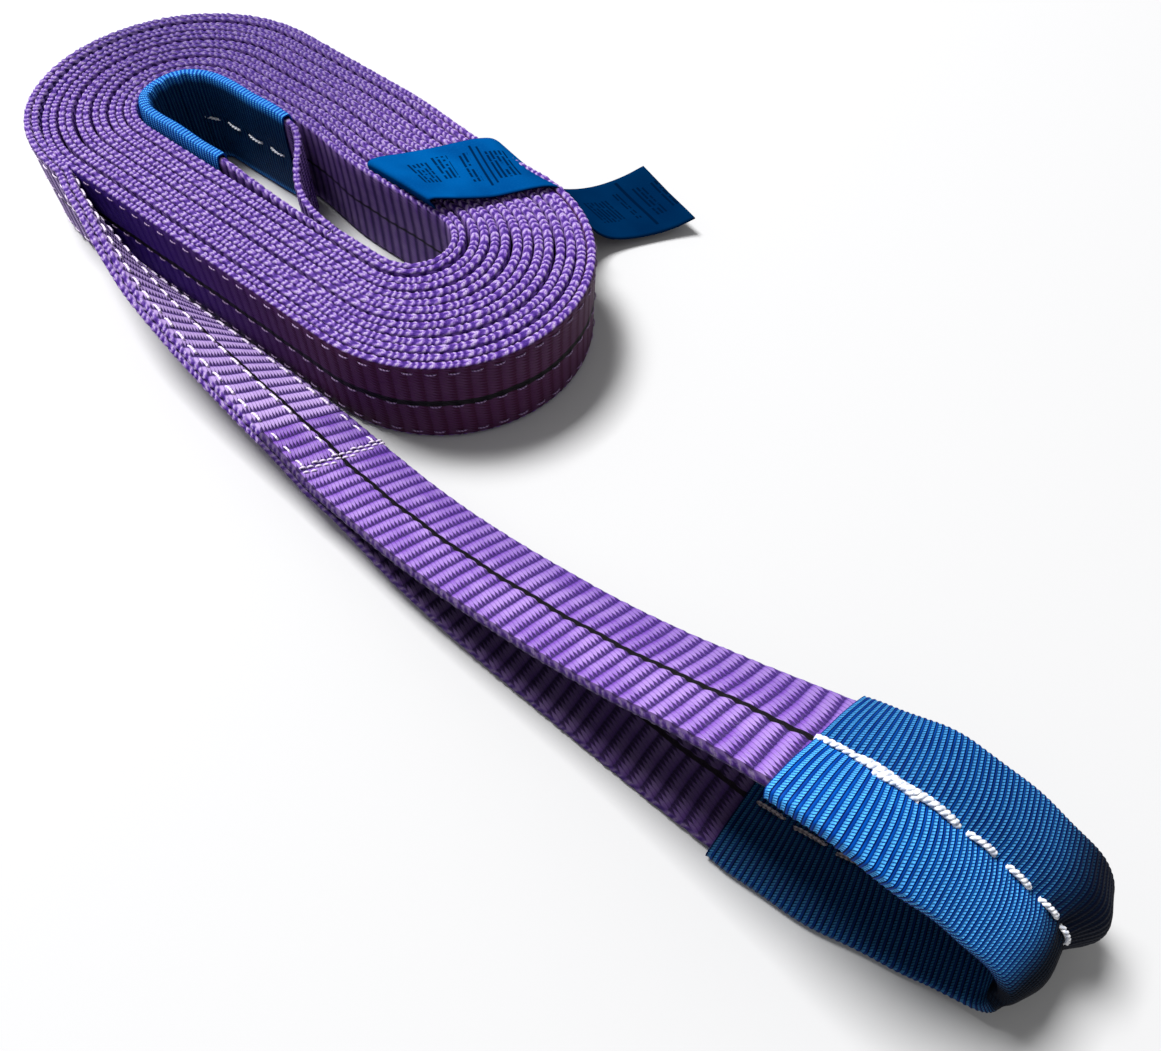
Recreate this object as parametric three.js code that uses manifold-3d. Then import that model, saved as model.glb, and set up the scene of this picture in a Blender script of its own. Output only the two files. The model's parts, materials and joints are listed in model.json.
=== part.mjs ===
// Flat web sling, duplex (two plies), 30 mm webbing, with a soft sleeved eye at each end.
// It is stored as a flat oval coil with the web standing on edge. One eye lies inside the coil. The other end
// leaves the coil, turns from on edge to lying flat, and opens into a long flat eye.
// Millimetres, +Z up. The long axis of the coil and of the outer eye is X.
import * as THREE from "three";
import Module from "manifold-3d";

// ---------------------------------------------------------------- driving dimensions
const WEB_WIDTH = 30; // width of the webbing, which is the height of the coil
const PLY = 2.1; // thickness of one ply
const PLY_GAP = 0.3; // clearance between the two plies
const PLY_OFF = (PLY + PLY_GAP) / 2; // middle of a ply from the seam plane between the plies
const SLEEVE_WALL = 1.0; // thickness of the wear sleeve's cloth
const SLEEVE_CLEAR = 0.3; // clearance of the sleeve round the webbing
const SLEEVE_HALF = WEB_WIDTH / 2 + SLEEVE_CLEAR + SLEEVE_WALL; // half the width of a sleeve
const SLEEVE_T = PLY / 2 + SLEEVE_CLEAR + SLEEVE_WALL; // half the thickness of a sleeve
const CUT = 0.3; // clearance between two lengths of webbing that meet at a joint
const COIL_START = 0.0536; // turn count where the two plies start, at the inner eye's crotch
const COIL_END = 6.8; // turn count where the free lead starts, on the coil's left end
const ARC_STEPS = 7; // facets in a quarter turn of a coil end
const STRAIGHT_SHARE = 0.35; // share of a quarter turn that is straight
const THREAD = 0.8; // side of a sewing thread's square section
const THREAD_CLEAR = 0.3; // clearance of a thread from the cloth under it
const LABEL_WIDTH = 29; // width of the label strip
const LABEL_T = 0.8; // thickness of the label strip
const SHIFT = [-92.888, -5.431, 0]; // moves the coil-centred drawing so that the origin is under the middle of the part

const V = (x, y, z) => new THREE.Vector3(x, y, z);
const lerp = (table, x) => {
  if (x <= table[0][0]) return table[0][1];
  for (let i = 1; i < table.length; i++)
    if (x <= table[i][0]) {
      const [x0, y0] = table[i - 1],
        [x1, y1] = table[i];
      return y0 + ((y1 - y0) * (x - x0)) / (x1 - x0);
    }
  return table[table.length - 1][1];
};
const smooth = (a, b, x) => {
  const t = Math.min(1, Math.max(0, (x - a) / (b - a)));
  return t * t * (3 - 2 * t);
};

// ---------------------------------------------------------------- the coil
// The seam plane between the two plies, seen from above, winds outward counter-clockwise. Turn n = 0 is the middle
// of the near side, n = 0.25 the right end, 0.5 the far side and 0.75 the left end. Each side has its own place
// for each turn, so the turns lie close on the near side and looser at the right end.
const nearY = (n) => lerp([[0, -16], [0.25, -16.6], [0.75, -20.19], [1, -21.4], [6, -45.6], [7, -50.45]], n);
const farY = (n) => 12.1 + 5.82 * (n - 0.5);
const rightX = (n) => 64.6 + 6.66 * (n - 0.25);
const leftX = (n) => -(71.9 + 5.1 * (n - 0.75));
const drawIn = (n) => 3.8 * ((n - 0.5) / 6); // the far side runs in towards the right end
const bulge = (n) => 4.0 * (1 - (n - 0.5) / 6.4); // the far side is pushed out round the inner eye's sleeve

function coilPoint(n) {
  const k = Math.floor(n),
    q = (n - k) * 4,
    quarter = Math.min(3, Math.floor(q)),
    u = q - quarter;
  const yn = nearY(n),
    yf = farY(n),
    yl = yf + bulge(n);
  const yr = yf - drawIn(n);
  const farLine = (x) => yr + drawIn(n) * smooth(42, -2, x) + bulge(n) * smooth(16, -18, x);
  const bR = (yr - yn) / 2,
    cR = rightX(n) - bR,
    mR = (yr + yn) / 2;
  const bL = (yl - yn) / 2,
    cL = leftX(n) + bL,
    mL = (yl + yn) / 2;
  const s = STRAIGHT_SHARE;
  if (quarter === 0) {
    if (u < s) return V((cR * u) / s, yn, 0);
    const a = ((u - s) / (1 - s)) * (Math.PI / 2);
    return V(cR + bR * Math.sin(a), mR - bR * Math.cos(a), 0);
  }
  if (quarter === 1) {
    if (u > 1 - s) {
      const x = cR * (1 - (u - (1 - s)) / s);
      return V(x, farLine(x), 0);
    }
    const a = (u / (1 - s)) * (Math.PI / 2);
    return V(cR + bR * Math.cos(a), mR + bR * Math.sin(a), 0);
  }
  if (quarter === 2) {
    if (u < s) {
      const x = (cL * u) / s;
      return V(x, farLine(x), 0);
    }
    const a = ((u - s) / (1 - s)) * (Math.PI / 2);
    return V(cL - bL * Math.sin(a), mL + bL * Math.cos(a), 0);
  }
  if (u > 1 - s) return V(cL * (1 - (u - (1 - s)) / s), yn, 0);
  const a = (u / (1 - s)) * (Math.PI / 2);
  return V(cL - bL * Math.cos(a), mL - bL * Math.sin(a), 0);
}
const coilDir = (n) => coilPoint(n + 0.0008).sub(coilPoint(n - 0.0008)).normalize();

// Turn counts of the facets, the same in every turn, so that neighbouring turns stay parallel.
function coilSteps(from, to) {
  const one = [];
  for (let quarter = 0; quarter < 4; quarter++) {
    const s = STRAIGHT_SHARE,
      us = [];
    const far = quarter === 1 || quarter === 2;
    if (quarter % 2 === 0) {
      for (let i = 0; i < (far ? 5 : 1); i++) us.push((s * i) / (far ? 5 : 1));
      for (let i = 0; i < ARC_STEPS; i++) us.push(s + ((1 - s) * i) / ARC_STEPS);
    } else {
      for (let i = 0; i < ARC_STEPS; i++) us.push(((1 - s) * i) / ARC_STEPS);
      for (let i = 0; i < (far ? 5 : 1); i++) us.push(1 - s + (s * i) / (far ? 5 : 1));
    }
    for (const u of us) one.push((quarter + u) / 4);
  }
  const out = [from];
  for (let k = Math.floor(from); k <= Math.ceil(to); k++)
    for (const f of one) if (k + f > from + 0.004 && k + f < to - 0.004) out.push(k + f);
  out.push(to);
  return out;
}

// ---------------------------------------------------------------- swept strips
// A station is {c: middle of the strip, b: unit vector across its width, n: unit vector through its thickness}.
function frames(points, across, flip = 1) {
  return points.map((p, i) => {
    const a = points[Math.max(0, i - 1)],
      z = points[Math.min(points.length - 1, i + 1)];
    const t = z.clone().sub(a).normalize();
    const b = across[i].clone().addScaledVector(t, -across[i].dot(t)).normalize();
    const n = new THREE.Vector3().crossVectors(t, b).multiplyScalar(flip).normalize();
    return { c: p.clone(), b, n, t };
  });
}
const at = (s, w, h) => s.c.clone().addScaledVector(s.b, w).addScaledVector(s.n, h);

// Closes a list of rings of equal length, all listed the same way round, into one solid. The list w holds each
// ring point's place across the strip: every quad is split the same way across, so that twisted layers stay parallel.
function loft(rings, w) {
  const m = rings[0].length,
    pos = [],
    idx = [];
  for (const r of rings) for (const p of r) pos.push(p.x, p.y, p.z);
  for (let i = 0; i + 1 < rings.length; i++)
    for (let j = 0; j < m; j++) {
      const j1 = (j + 1) % m,
        a = i * m + j,
        b = i * m + j1,
        c = (i + 1) * m + j,
        d = (i + 1) * m + j1;
      if (w[j1] >= w[j]) idx.push(a, b, d, a, d, c);
      else idx.push(a, b, c, b, d, c);
    }
  const last = (rings.length - 1) * m;
  for (let j = 1; j + 1 < m; j++) {
    idx.push(0, j + 1, j);
    idx.push(last, last + j, last + j + 1);
  }
  return outward(pos, idx);
}
// A tube: outer and inner rings joined at both mouths.
function tube(outer, inner, w) {
  const m = outer[0].length,
    k = outer.length,
    pos = [],
    idx = [];
  for (const r of outer) for (const p of r) pos.push(p.x, p.y, p.z);
  for (const r of inner) for (const p of r) pos.push(p.x, p.y, p.z);
  const q = (a, b, c, d) => idx.push(a, b, d, a, d, c);
  const o = k * m;
  for (let i = 0; i + 1 < k; i++)
    for (let j = 0; j < m; j++) {
      const j1 = (j + 1) % m,
        a = i * m + j,
        b = i * m + j1,
        c = (i + 1) * m + j,
        d = (i + 1) * m + j1;
      if (w[j1] >= w[j]) idx.push(a, b, d, a, d, c, o + a, o + d, o + b, o + a, o + c, o + d);
      else idx.push(a, b, c, b, d, c, o + a, o + c, o + b, o + b, o + c, o + d);
    }
  for (let j = 0; j < m; j++) {
    const j1 = (j + 1) % m,
      e = (k - 1) * m;
    q(o + j, o + j1, j, j1);
    q(e + j, e + j1, o + e + j, o + e + j1);
  }
  return outward(pos, idx);
}
function outward(pos, idx) {
  let vol = 0;
  const p = (i) => V(pos[3 * i], pos[3 * i + 1], pos[3 * i + 2]);
  for (let i = 0; i < idx.length; i += 3) vol += p(idx[i]).dot(p(idx[i + 1]).cross(p(idx[i + 2])));
  if (vol < 0) for (let i = 0; i < idx.length; i += 3) [idx[i + 1], idx[i + 2]] = [idx[i + 2], idx[i + 1]];
  const g = new THREE.BufferGeometry();
  g.setAttribute("position", new THREE.Float32BufferAttribute(pos, 3));
  g.setIndex(idx);
  return g;
}
// A strip of rectangular section: w0..w1 across, h0..h1 through the thickness.
const strip = (st, w0, w1, h0, h1) =>
  loft(
    st.map((s) => [at(s, w0, h0), at(s, w1, h0), at(s, w1, h1), at(s, w0, h1)]),
    [w0, w1, w1, w0],
  );
// The same with a middle line, for webbing that twists.
const twistStrip = (st, w1, h0, h1) =>
  loft(
    st.map((s) => [at(s, -w1, h0), at(s, 0, h0), at(s, w1, h0), at(s, w1, h1), at(s, 0, h1), at(s, -w1, h1)]),
    [-w1, 0, w1, w1, 0, -w1],
  );
// A flattened sleeve with chamfered edges round a strip.
function sleeve(st) {
  const ring = (s, w, h, c) =>
    [[-w + c, -h], [0, -h], [w - c, -h], [w, -h + c], [w, h - c], [w - c, h], [0, h], [-w + c, h], [-w, h - c], [-w, -h + c]].map(
      ([a, b]) => at(s, a, b),
    );
  return tube(
    st.map((s) => ring(s, SLEEVE_HALF, SLEEVE_T, 1.2)),
    st.map((s) => ring(s, SLEEVE_HALF - SLEEVE_WALL, SLEEVE_T - SLEEVE_WALL, 0.12)),
    [-2, 0, 2, 3, 3, 2, 0, -2, -3, -3],
  );
}
// Rows of [x, y, z, across x, y, z] on a smooth curve, with extra stations between the rows named in dense.
function smoothRows(rows, dense) {
  const pts = new THREE.CatmullRomCurve3(rows.map((r) => V(r[0], r[1], r[2])), false, "centripetal"),
    across = new THREE.CatmullRomCurve3(rows.map((r) => V(r[3], r[4], r[5])), false, "catmullrom"),
    k = rows.length - 1,
    out = [];
  for (let i = 0; i <= k; i++) {
    const more = i < k && i >= dense[0] && i < dense[1] ? [0, 0.5] : [0];
    for (const f of more) out.push([pts.getPoint((i + f) / k), across.getPoint((i + f) / k).normalize()]);
  }
  return out;
}

// ---------------------------------------------------------------- coil plies
const UP = V(0, 0, 1);
const MID = WEB_WIDTH / 2;
const coilN = coilSteps(COIL_START, COIL_END);
const coilStations = coilN.map((n) => {
  const c = coilPoint(n),
    t = coilDir(n);
  c.z = MID;
  return { c, b: UP.clone(), n: V(t.y, -t.x, 0), t }; // n points away from the middle of the coil
});
const inCoil = strip(coilStations, -MID, MID, -PLY_OFF - PLY / 2, -PLY_OFF + PLY / 2);
const outCoil = strip(coilStations, -MID, MID, PLY_OFF - PLY / 2, PLY_OFF + PLY / 2);

// ---------------------------------------------------------------- free lead (the tail of two plies)
// x of the lower edge, its y, and the lean of the web from flat, in degrees. The lower edge stays on the ground.
const LEAD = [
  [-44, -50.5, 83],
  [-34, -50.6, 77],
  [-24, -50.75, 70],
  [-12, -50.8, 62],
  [0, -50.8, 54],
  [13, -50.7, 47.5],
  [24, -50.5, 42],
  [36, -50.4, 37],
  [48, -50.5, 32.5],
  [60, -50.8, 29],
  [72, -51.3, 25.5],
  [84, -52.1, 21.5],
];
const leadPts = [],
  leadAcross = [];
const ARC_END = 6.75 + 0.25 * (1 - STRAIGHT_SHARE);
for (const n of coilSteps(COIL_END, ARC_END)) {
  const c = coilPoint(n);
  c.z = MID;
  leadPts.push(c);
  leadAcross.push(V(0, 0, -1));
}
const LEAD_FINE = LEAD.flatMap((r, i) =>
  i + 1 < LEAD.length ? [r, r.map((v, j) => (v + LEAD[i + 1][j]) / 2)] : [r],
);
for (const [x, y, deg] of LEAD_FINE) {
  const r = (deg * Math.PI) / 180;
  const across = V(0, Math.cos(r), -Math.sin(r)); // from the upper (near) edge down to the lower (far) edge
  const half = PLY_OFF + PLY / 2;
  const low = V(x, y, half * Math.cos(r) + 0.1);
  leadPts.push(low.addScaledVector(across, -MID));
  leadAcross.push(across);
}
const lead = frames(leadPts, leadAcross, 1); // n is the upper face, which faced the coil
const leadStations = lead.map((s) => ({ ...s, c: s.c.clone() }));
{
  const end = coilStations[coilStations.length - 1];
  leadStations[0] = { c: end.c.clone().addScaledVector(end.t, CUT), b: V(0, 0, -1), n: end.n.clone().negate(), t: end.t.clone() };
}
const LEAD_UP = leadStations[leadStations.length - 1].n.z > 0 ? 1 : -1;
const upLead = twistStrip(leadStations, MID, LEAD_UP * (PLY_OFF - PLY / 2), LEAD_UP * (PLY_OFF + PLY / 2));
const lowLead = twistStrip(leadStations, MID, -LEAD_UP * (PLY_OFF + PLY / 2), -LEAD_UP * (PLY_OFF - PLY / 2));

// ---------------------------------------------------------------- outer eye
// Middle of the single ply, from the crotch over the tip and back under, with the direction across it.
const crotch = lead[lead.length - 1];
const EYE = [
  // x, y, z, across x, y, z
  [96, -66.9, 10.3, 0.02, 0.937, -0.35],
  [106, -67.7, 11.35, 0.02, 0.94, -0.358],
  [119.5, -68.8, 13.2, 0.03, 0.944, -0.375],
  [132, -69.4, 15.5, 0.04, 0.945, -0.37],
  [144, -69.7, 17.9, 0.05, 0.946, -0.365],
  [155, -69.8, 20.3, 0.06, 0.947, -0.36],
  [165, -69.9, 22.7, 0.08, 0.947, -0.355],
  [174, -70, 25.5, 0.1, 0.947, -0.35],
  [182, -70.2, 28.6, 0.11, 0.947, -0.345],
  [190, -70.4, 32.1, 0.12, 0.947, -0.345],
  [198, -70.5, 36, 0.13, 0.947, -0.345],
  [206, -70.7, 40, 0.14, 0.947, -0.345],
  [214, -70.9, 43.88, 0.14, 0.948, -0.317],
  [222, -70.9, 47.16, 0.13, 0.952, -0.289],
  [229, -70.7, 49.2, 0.11, 0.957, -0.26],
  [236, -70.2, 50.1, 0.08, 0.965, -0.22],
  [242, -69.5, 49.7, 0.05, 0.975, -0.16],
  [248, -68.5, 48.3, 0.02, 0.985, -0.09],
  [254, -67.3, 45.8, 0.0, 0.99, -0.02],
  [260, -66.0, 42.5, -0.02, 0.99, 0.05],
  [266, -64.8, 38.7, -0.02, 0.99, 0.09],
  [271.5, -63.8, 34.7, 0.0, 0.985, 0.12],
  [276.5, -62.9, 30.4, 0.05, 0.98, 0.12],
  [280.7, -62.2, 25.6, 0.12, 0.975, 0.1],
  [283.6, -61.8, 20.2, 0.2, 0.97, 0.05],
  [284.6, -61.6, 14.6, 0.24, 0.965, 0.0],
  [283.2, -61.7, 9.4, 0.2, 0.975, -0.02],
  [279.6, -62.2, 5.6, 0.08, 0.99, -0.01],
  [274.2, -63.1, 3.4, -0.05, 0.995, 0.0],
  [267, -64.4, 2.6, -0.12, 0.99, 0.0],
  [259, -66.2, 2.55, -0.16, 0.987, 0.0],
  [250, -68.0, 2.55, -0.14, 0.99, 0.0],
  [240, -69.5, 2.55, -0.1, 0.995, 0.0],
  [230, -70.4, 2.55, -0.05, 0.998, 0.0],
  [221, -70.8, 2.5, -0.02, 1, 0.0],
  [212, -70.8, 2.1, 0, 1, 0.0],
  [198, -70.5, 1.5, 0, 1, 0.0],
  [180, -70.2, 1.3, 0, 1, -0.01],
  [160, -69.9, 1.5, 0, 1, -0.03],
  [144, -69.6, 2.0, 0, 0.998, -0.07],
  [130, -69.2, 2.9, 0, 0.99, -0.13],
  [118, -68.7, 4.0, 0, 0.978, -0.2],
  [106, -67.8, 5.1, 0, 0.96, -0.28],
  [96, -67.0, 5.9, 0, 0.945, -0.335],
];
const FLOOR_ROW = 36; // the first row of the lower leg beyond the sleeve
const eyePts = [],
  eyeAcross = [];
const legStart = (h) => at(crotch, 0, h).addScaledVector(crotch.t, CUT);
eyePts.push(legStart(LEAD_UP * PLY_OFF));
eyeAcross.push(crotch.b.clone());
EYE.forEach((row, i) => {
  if (i >= FLOOR_ROW) row[2] = PLY / 2 + (WEB_WIDTH / 2) * Math.abs(row[5]) + 0.1; // the lower leg lies on the ground
});
for (const [p, b] of smoothRows(EYE, [19, 30])) {
  eyePts.push(p);
  eyeAcross.push(b);
}
eyePts.push(legStart(-LEAD_UP * PLY_OFF));
eyeAcross.push(crotch.b.clone());
const eye = frames(eyePts, eyeAcross);
for (const s of [eye[0], eye[eye.length - 1]]) {
  s.b.copy(crotch.b);
  s.n.copy(crotch.n).multiplyScalar(s === eye[0] ? LEAD_UP : -LEAD_UP);
}
// n points out of the loop: up on the upper leg, down on the lower leg
const eyeLoop = twistStrip(eye, MID, -PLY / 2, PLY / 2);
const SLEEVE_FROM = 14, // first and last station of the eye that the sleeve covers
  SLEEVE_TO = 46;
const eyeSleeveStations = eye.slice(SLEEVE_FROM, SLEEVE_TO + 1);
const eyeSleeve = sleeve(eyeSleeveStations);
const cord = (st, w, h) => strip(st, w - THREAD / 2, w + THREAD / 2, h, h + THREAD);
const eyeThread = cord(eyeSleeveStations.slice(0, 21), 0, SLEEVE_T + THREAD_CLEAR);

// ---------------------------------------------------------------- inner eye
// Plan of the middle of the single ply: the near leg, round the left end, the far leg, then across to the near side.
const seamA = coilPoint(COIL_START),
  dirA = coilDir(COIL_START);
const nA = V(dirA.y, -dirA.x, 0);
const U_R = 13.3,
  U_X = -53.0,
  U_Y = -2.3;
const innerPlan = [];
const startNear = seamA.clone().addScaledVector(nA, PLY_OFF).addScaledVector(dirA, -CUT);
const startCross = seamA.clone().addScaledVector(nA, -PLY_OFF).addScaledVector(dirA, -CUT);
innerPlan.push([startNear.x, startNear.y, 0]);
for (const [x, y, dz] of [
  [20, -17.1, 0],
  [8, -16.9, 0.2],
  [-6, -16.4, 0.9],
  [-18, -15.8, 1.35],
  [-32, -15.6, 1.35],
])
  innerPlan.push([x, y, dz]);
for (let i = 0; i <= 14; i++) {
  const a = -Math.PI / 2 - (Math.PI * i) / 14;
  innerPlan.push([U_X + U_R * Math.cos(a), U_Y + U_R * Math.sin(a), 1.35]);
}
for (const [x, y, dz] of [
  [-36, 11.0, 1.35],
  [-19, 11.0, 1.35],
  [-14.5, 10.2, 1.2],
  [-9.5, 6.9, 1.0],
  [-4.5, 2.2, 0.8],
  [1, -3.2, 0.55],
  [7, -8.0, 0.3],
  [13, -11.2, 0.15],
  [19, -13.2, 0],
])
  innerPlan.push([x, y, dz]);
innerPlan.push([startCross.x, startCross.y, 0]);
const innerPts = innerPlan.map(([x, y, dz]) => V(x, y, MID + dz));
const innerStations = frames(
  innerPts,
  innerPts.map(() => V(0, 0, 1)),
);
for (const s of innerStations) {
  s.b = V(0, 0, 1);
  s.n = V(s.t.y, -s.t.x, 0).normalize();
}
for (const s of [innerStations[0], innerStations[innerStations.length - 1]]) s.n = nA.clone().multiplyScalar(s === innerStations[0] ? -1 : 1);
const innerLoop = strip(innerStations, -MID, MID, -PLY / 2, PLY / 2);
const IS_FROM = 4,
  IS_TO = 22;
const innerSleeveStations = innerStations.slice(IS_FROM, IS_TO + 1);
const innerSleeve = sleeve(innerSleeveStations);
// The sleeve thread shows on the inside of the loop.
const inward = innerStations[8].n.x > 0 ? 1 : -1;
const innerThread = (() => {
  const st = innerSleeveStations;
  const h0 = inward > 0 ? SLEEVE_T + THREAD_CLEAR : -SLEEVE_T - THREAD_CLEAR - THREAD;
  return cord(st, 0, h0);
})();

// ---------------------------------------------------------------- seams
// Three rows of thread run along the outer face of the last full turn, and on along the upper face of the lead.
const SEAM_ROWS = [
  ["edge_a", 12.2],
  ["centre", 1.4],
  ["edge_b", -12.2],
];
const SEAM = 0.6;
const SEAM_CLEAR = 0.45; // clearance of a seam's thread from the web
const outFace = PLY_OFF + PLY / 2;
const seamN = coilSteps(6.1, 6.41);
const seamStations = seamN.map((n) => {
  const c = coilPoint(n),
    t = coilDir(n);
  c.z = MID;
  return { c, b: UP.clone(), n: V(t.y, -t.x, 0), t };
});

// ---------------------------------------------------------------- label
// A strip sewn in between the plies on the far side. It stands up out of the seam, curls over, lies across the
// coil's far side, drops over the outer edge and ends on the ground.
const labelA = coilPoint(0.5 - 0.25 * STRAIGHT_SHARE * (46.2 / 50)),
  labelB = coilPoint(0.5 - 0.25 * STRAIGHT_SHARE * (17.2 / 50));
const labelMid = labelA.clone().add(labelB).multiplyScalar(0.5);
const labelDir = labelA.clone().sub(labelB).normalize(); // along the seam, towards +X
const TAB = 6.5; // depth of the sewn end below the web's edge
const tabBottom = V(labelMid.x, labelMid.y, WEB_WIDTH - TAB);
const tabStations = frames(
  [tabBottom, V(labelMid.x, labelMid.y, WEB_WIDTH + 0.15)],
  [labelDir, labelDir],
);
const labelTab = strip(tabStations, -LABEL_WIDTH / 2, LABEL_WIDTH / 2, -LABEL_T / 2, LABEL_T / 2);
const LABEL = [
  // x, y, z, across x, y, z
  [0, 0, 30.45, 1, 0, 0],
  [0, 0, 31.1, 1, 0, 0],
  [32.4, 12.4, 32.2, 1, -0.03, 0],
  [33.0, 14.3, 33.2, 0.995, -0.1, 0],
  [35.6, 18.3, 33.1, 0.97, -0.22, 0],
  [39.8, 23.4, 32.2, 0.955, -0.28, 0],
  [44.4, 28.3, 31.5, 0.945, -0.32, 0],
  [47.6, 33.6, 31.3, 0.94, -0.34, 0],
  [50.9, 39.2, 31.3, 0.935, -0.35, 0],
  [54.0, 43.9, 31.3, 0.95, -0.3, 0],
  [56.2, 47.3, 29.9, 0.95, -0.26, 0.1],
  [58.2, 49.8, 25.6, 0.94, -0.26, 0.2],
  [60.0, 51.6, 19.8, 0.93, -0.28, 0.24],
  [61.8, 53.7, 13.6, 0.92, -0.33, 0.2],
  [63.8, 56.8, 8.2, 0.91, -0.38, 0.12],
  [66.6, 61.2, 4.3, 0.905, -0.42, 0.05],
  [70.3, 67.0, 2.4, 0.9, -0.43, 0],
  [74.4, 73.6, 2.2, 0.89, -0.45, 0],
  [78.5, 80.2, 3.4, 0.89, -0.45, 0],
  [82.4, 86.4, 5.8, 0.89, -0.45, 0],
  [84.8, 90.0, 7.6, 0.89, -0.45, 0],
];
const labelStations = (() => {
  for (const r of LABEL.slice(0, 2)) [r[0], r[1]] = [labelMid.x, labelMid.y];
  const rows = smoothRows(LABEL, [2, 16]);
  return frames(
    rows.map(([p]) => p),
    rows.map(([, b], i) => b.lerp(labelDir, i < 2 ? 1 : Math.max(0, 1 - i / 6)).normalize()),
  );
})();
const labelStrip = strip(labelStations, -LABEL_WIDTH / 2, LABEL_WIDTH / 2, -LABEL_T / 2, LABEL_T / 2);

// ---------------------------------------------------------------- pocket for the label's sewn end
const wasm = await Module();
wasm.setup();
function toSolid(g) {
  return new wasm.Manifold(
    new wasm.Mesh({
      numProp: 3,
      vertProperties: new Float32Array(g.attributes.position.array),
      triVerts: new Uint32Array(g.index.array),
    }),
  );
}
function toGeometry(solid) {
  const m = solid.getMesh();
  const g = new THREE.BufferGeometry();
  g.setAttribute("position", new THREE.Float32BufferAttribute(Array.from(m.vertProperties), 3));
  g.setIndex(Array.from(m.triVerts));
  return g;
}
const pocket = toSolid(
  strip(
    frames(
      [V(labelMid.x, labelMid.y, WEB_WIDTH - TAB - 0.3), V(labelMid.x, labelMid.y, WEB_WIDTH + 1)],
      [labelDir, labelDir],
    ),
    -LABEL_WIDTH / 2 - 0.3,
    LABEL_WIDTH / 2 + 0.3,
    -LABEL_T / 2 - 0.3,
    LABEL_T / 2 + 0.3,
  ),
);

// ---------------------------------------------------------------- cross seam of each eye
function bar(s, w0, w1, l0, l1, h0, h1) {
  const ring = (l) => [
    at(s, w0, h0).addScaledVector(s.t, l),
    at(s, w1, h0).addScaledVector(s.t, l),
    at(s, w1, h1).addScaledVector(s.t, l),
    at(s, w0, h1).addScaledVector(s.t, l),
  ];
  return loft([ring(l0), ring(l1)], [0, 0, 0, 0]);
}
const crossAt = leadStations[leadStations.length - 1];
const crossH = LEAD_UP * (outFace + SEAM_CLEAR);
const outerCross = bar(crossAt, -12.6, 12.6, -2.2, -1.2, Math.min(crossH, crossH + LEAD_UP * SEAM), Math.max(crossH, crossH + LEAD_UP * SEAM));
const innerCrossAt = (() => {
  const n = COIL_START + 0.006;
  const c = coilPoint(n),
    t = coilDir(n);
  c.z = MID;
  return { c, b: UP.clone(), n: V(t.y, -t.x, 0), t };
})();
const innerCross = bar(innerCrossAt, -12.6, 12.6, 0, 1.0, -outFace - SEAM_CLEAR - SEAM, -outFace - SEAM_CLEAR);

// ---------------------------------------------------------------- the assembly
const violet = { color: 0x7b4fc0, roughness: 0.75, metalness: 0 };
const blue = { color: 0x0a5fc0, roughness: 0.7, metalness: 0 };
const white = { color: 0xe2e6ee, roughness: 0.6, metalness: 0 };
const lilac = { color: 0xb9a4dd, roughness: 0.6, metalness: 0 };
const label = { color: 0x0070c8, roughness: 0.35, metalness: 0 };
const part = new THREE.Group();
const add = (name, geometry, look) => {
  const mesh = new THREE.Mesh(geometry, new THREE.MeshStandardMaterial(look));
  mesh.name = name;
  mesh.position.set(...SHIFT);
  part.add(mesh);
};
add("coil_inner_ply", toGeometry(toSolid(inCoil).subtract(pocket)), violet);
add("coil_outer_ply", toGeometry(toSolid(outCoil).subtract(pocket)), violet);
add("lead_upper_ply", upLead, violet);
add("lead_lower_ply", lowLead, violet);
add("outer_eye_webbing", eyeLoop, violet);
add("outer_eye_sleeve", eyeSleeve, blue);
add("outer_eye_sleeve_thread", eyeThread, white);
add("inner_eye_webbing", innerLoop, violet);
add("inner_eye_sleeve", innerSleeve, blue);
add("inner_eye_sleeve_thread", innerThread, white);
add("label_sewn_end", labelTab, label);
add("label_strip", labelStrip, label);
for (const [name, w] of SEAM_ROWS) {
  add("coil_seam_" + name, strip(seamStations, w - SEAM / 2, w + SEAM / 2, outFace + SEAM_CLEAR, outFace + SEAM_CLEAR + SEAM), lilac);
  const h = LEAD_UP * (outFace + SEAM_CLEAR),
    h2 = h + LEAD_UP * SEAM;
  const st = leadStations.slice(leadStations.length - 20, leadStations.length).map((s) => ({ ...s, c: s.c.clone() }));
  st[st.length - 1].c.addScaledVector(st[st.length - 1].t, -3.5);
  add("lead_seam_" + name, strip(st, -w - SEAM / 2, -w + SEAM / 2, Math.min(h, h2), Math.max(h, h2)), lilac);
}
add("outer_eye_cross_seam", outerCross, lilac);
add("inner_eye_cross_seam", innerCross, lilac);

export default part;
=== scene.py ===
import json
import math

import bpy
import numpy as np
from mathutils import Matrix, Vector

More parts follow.
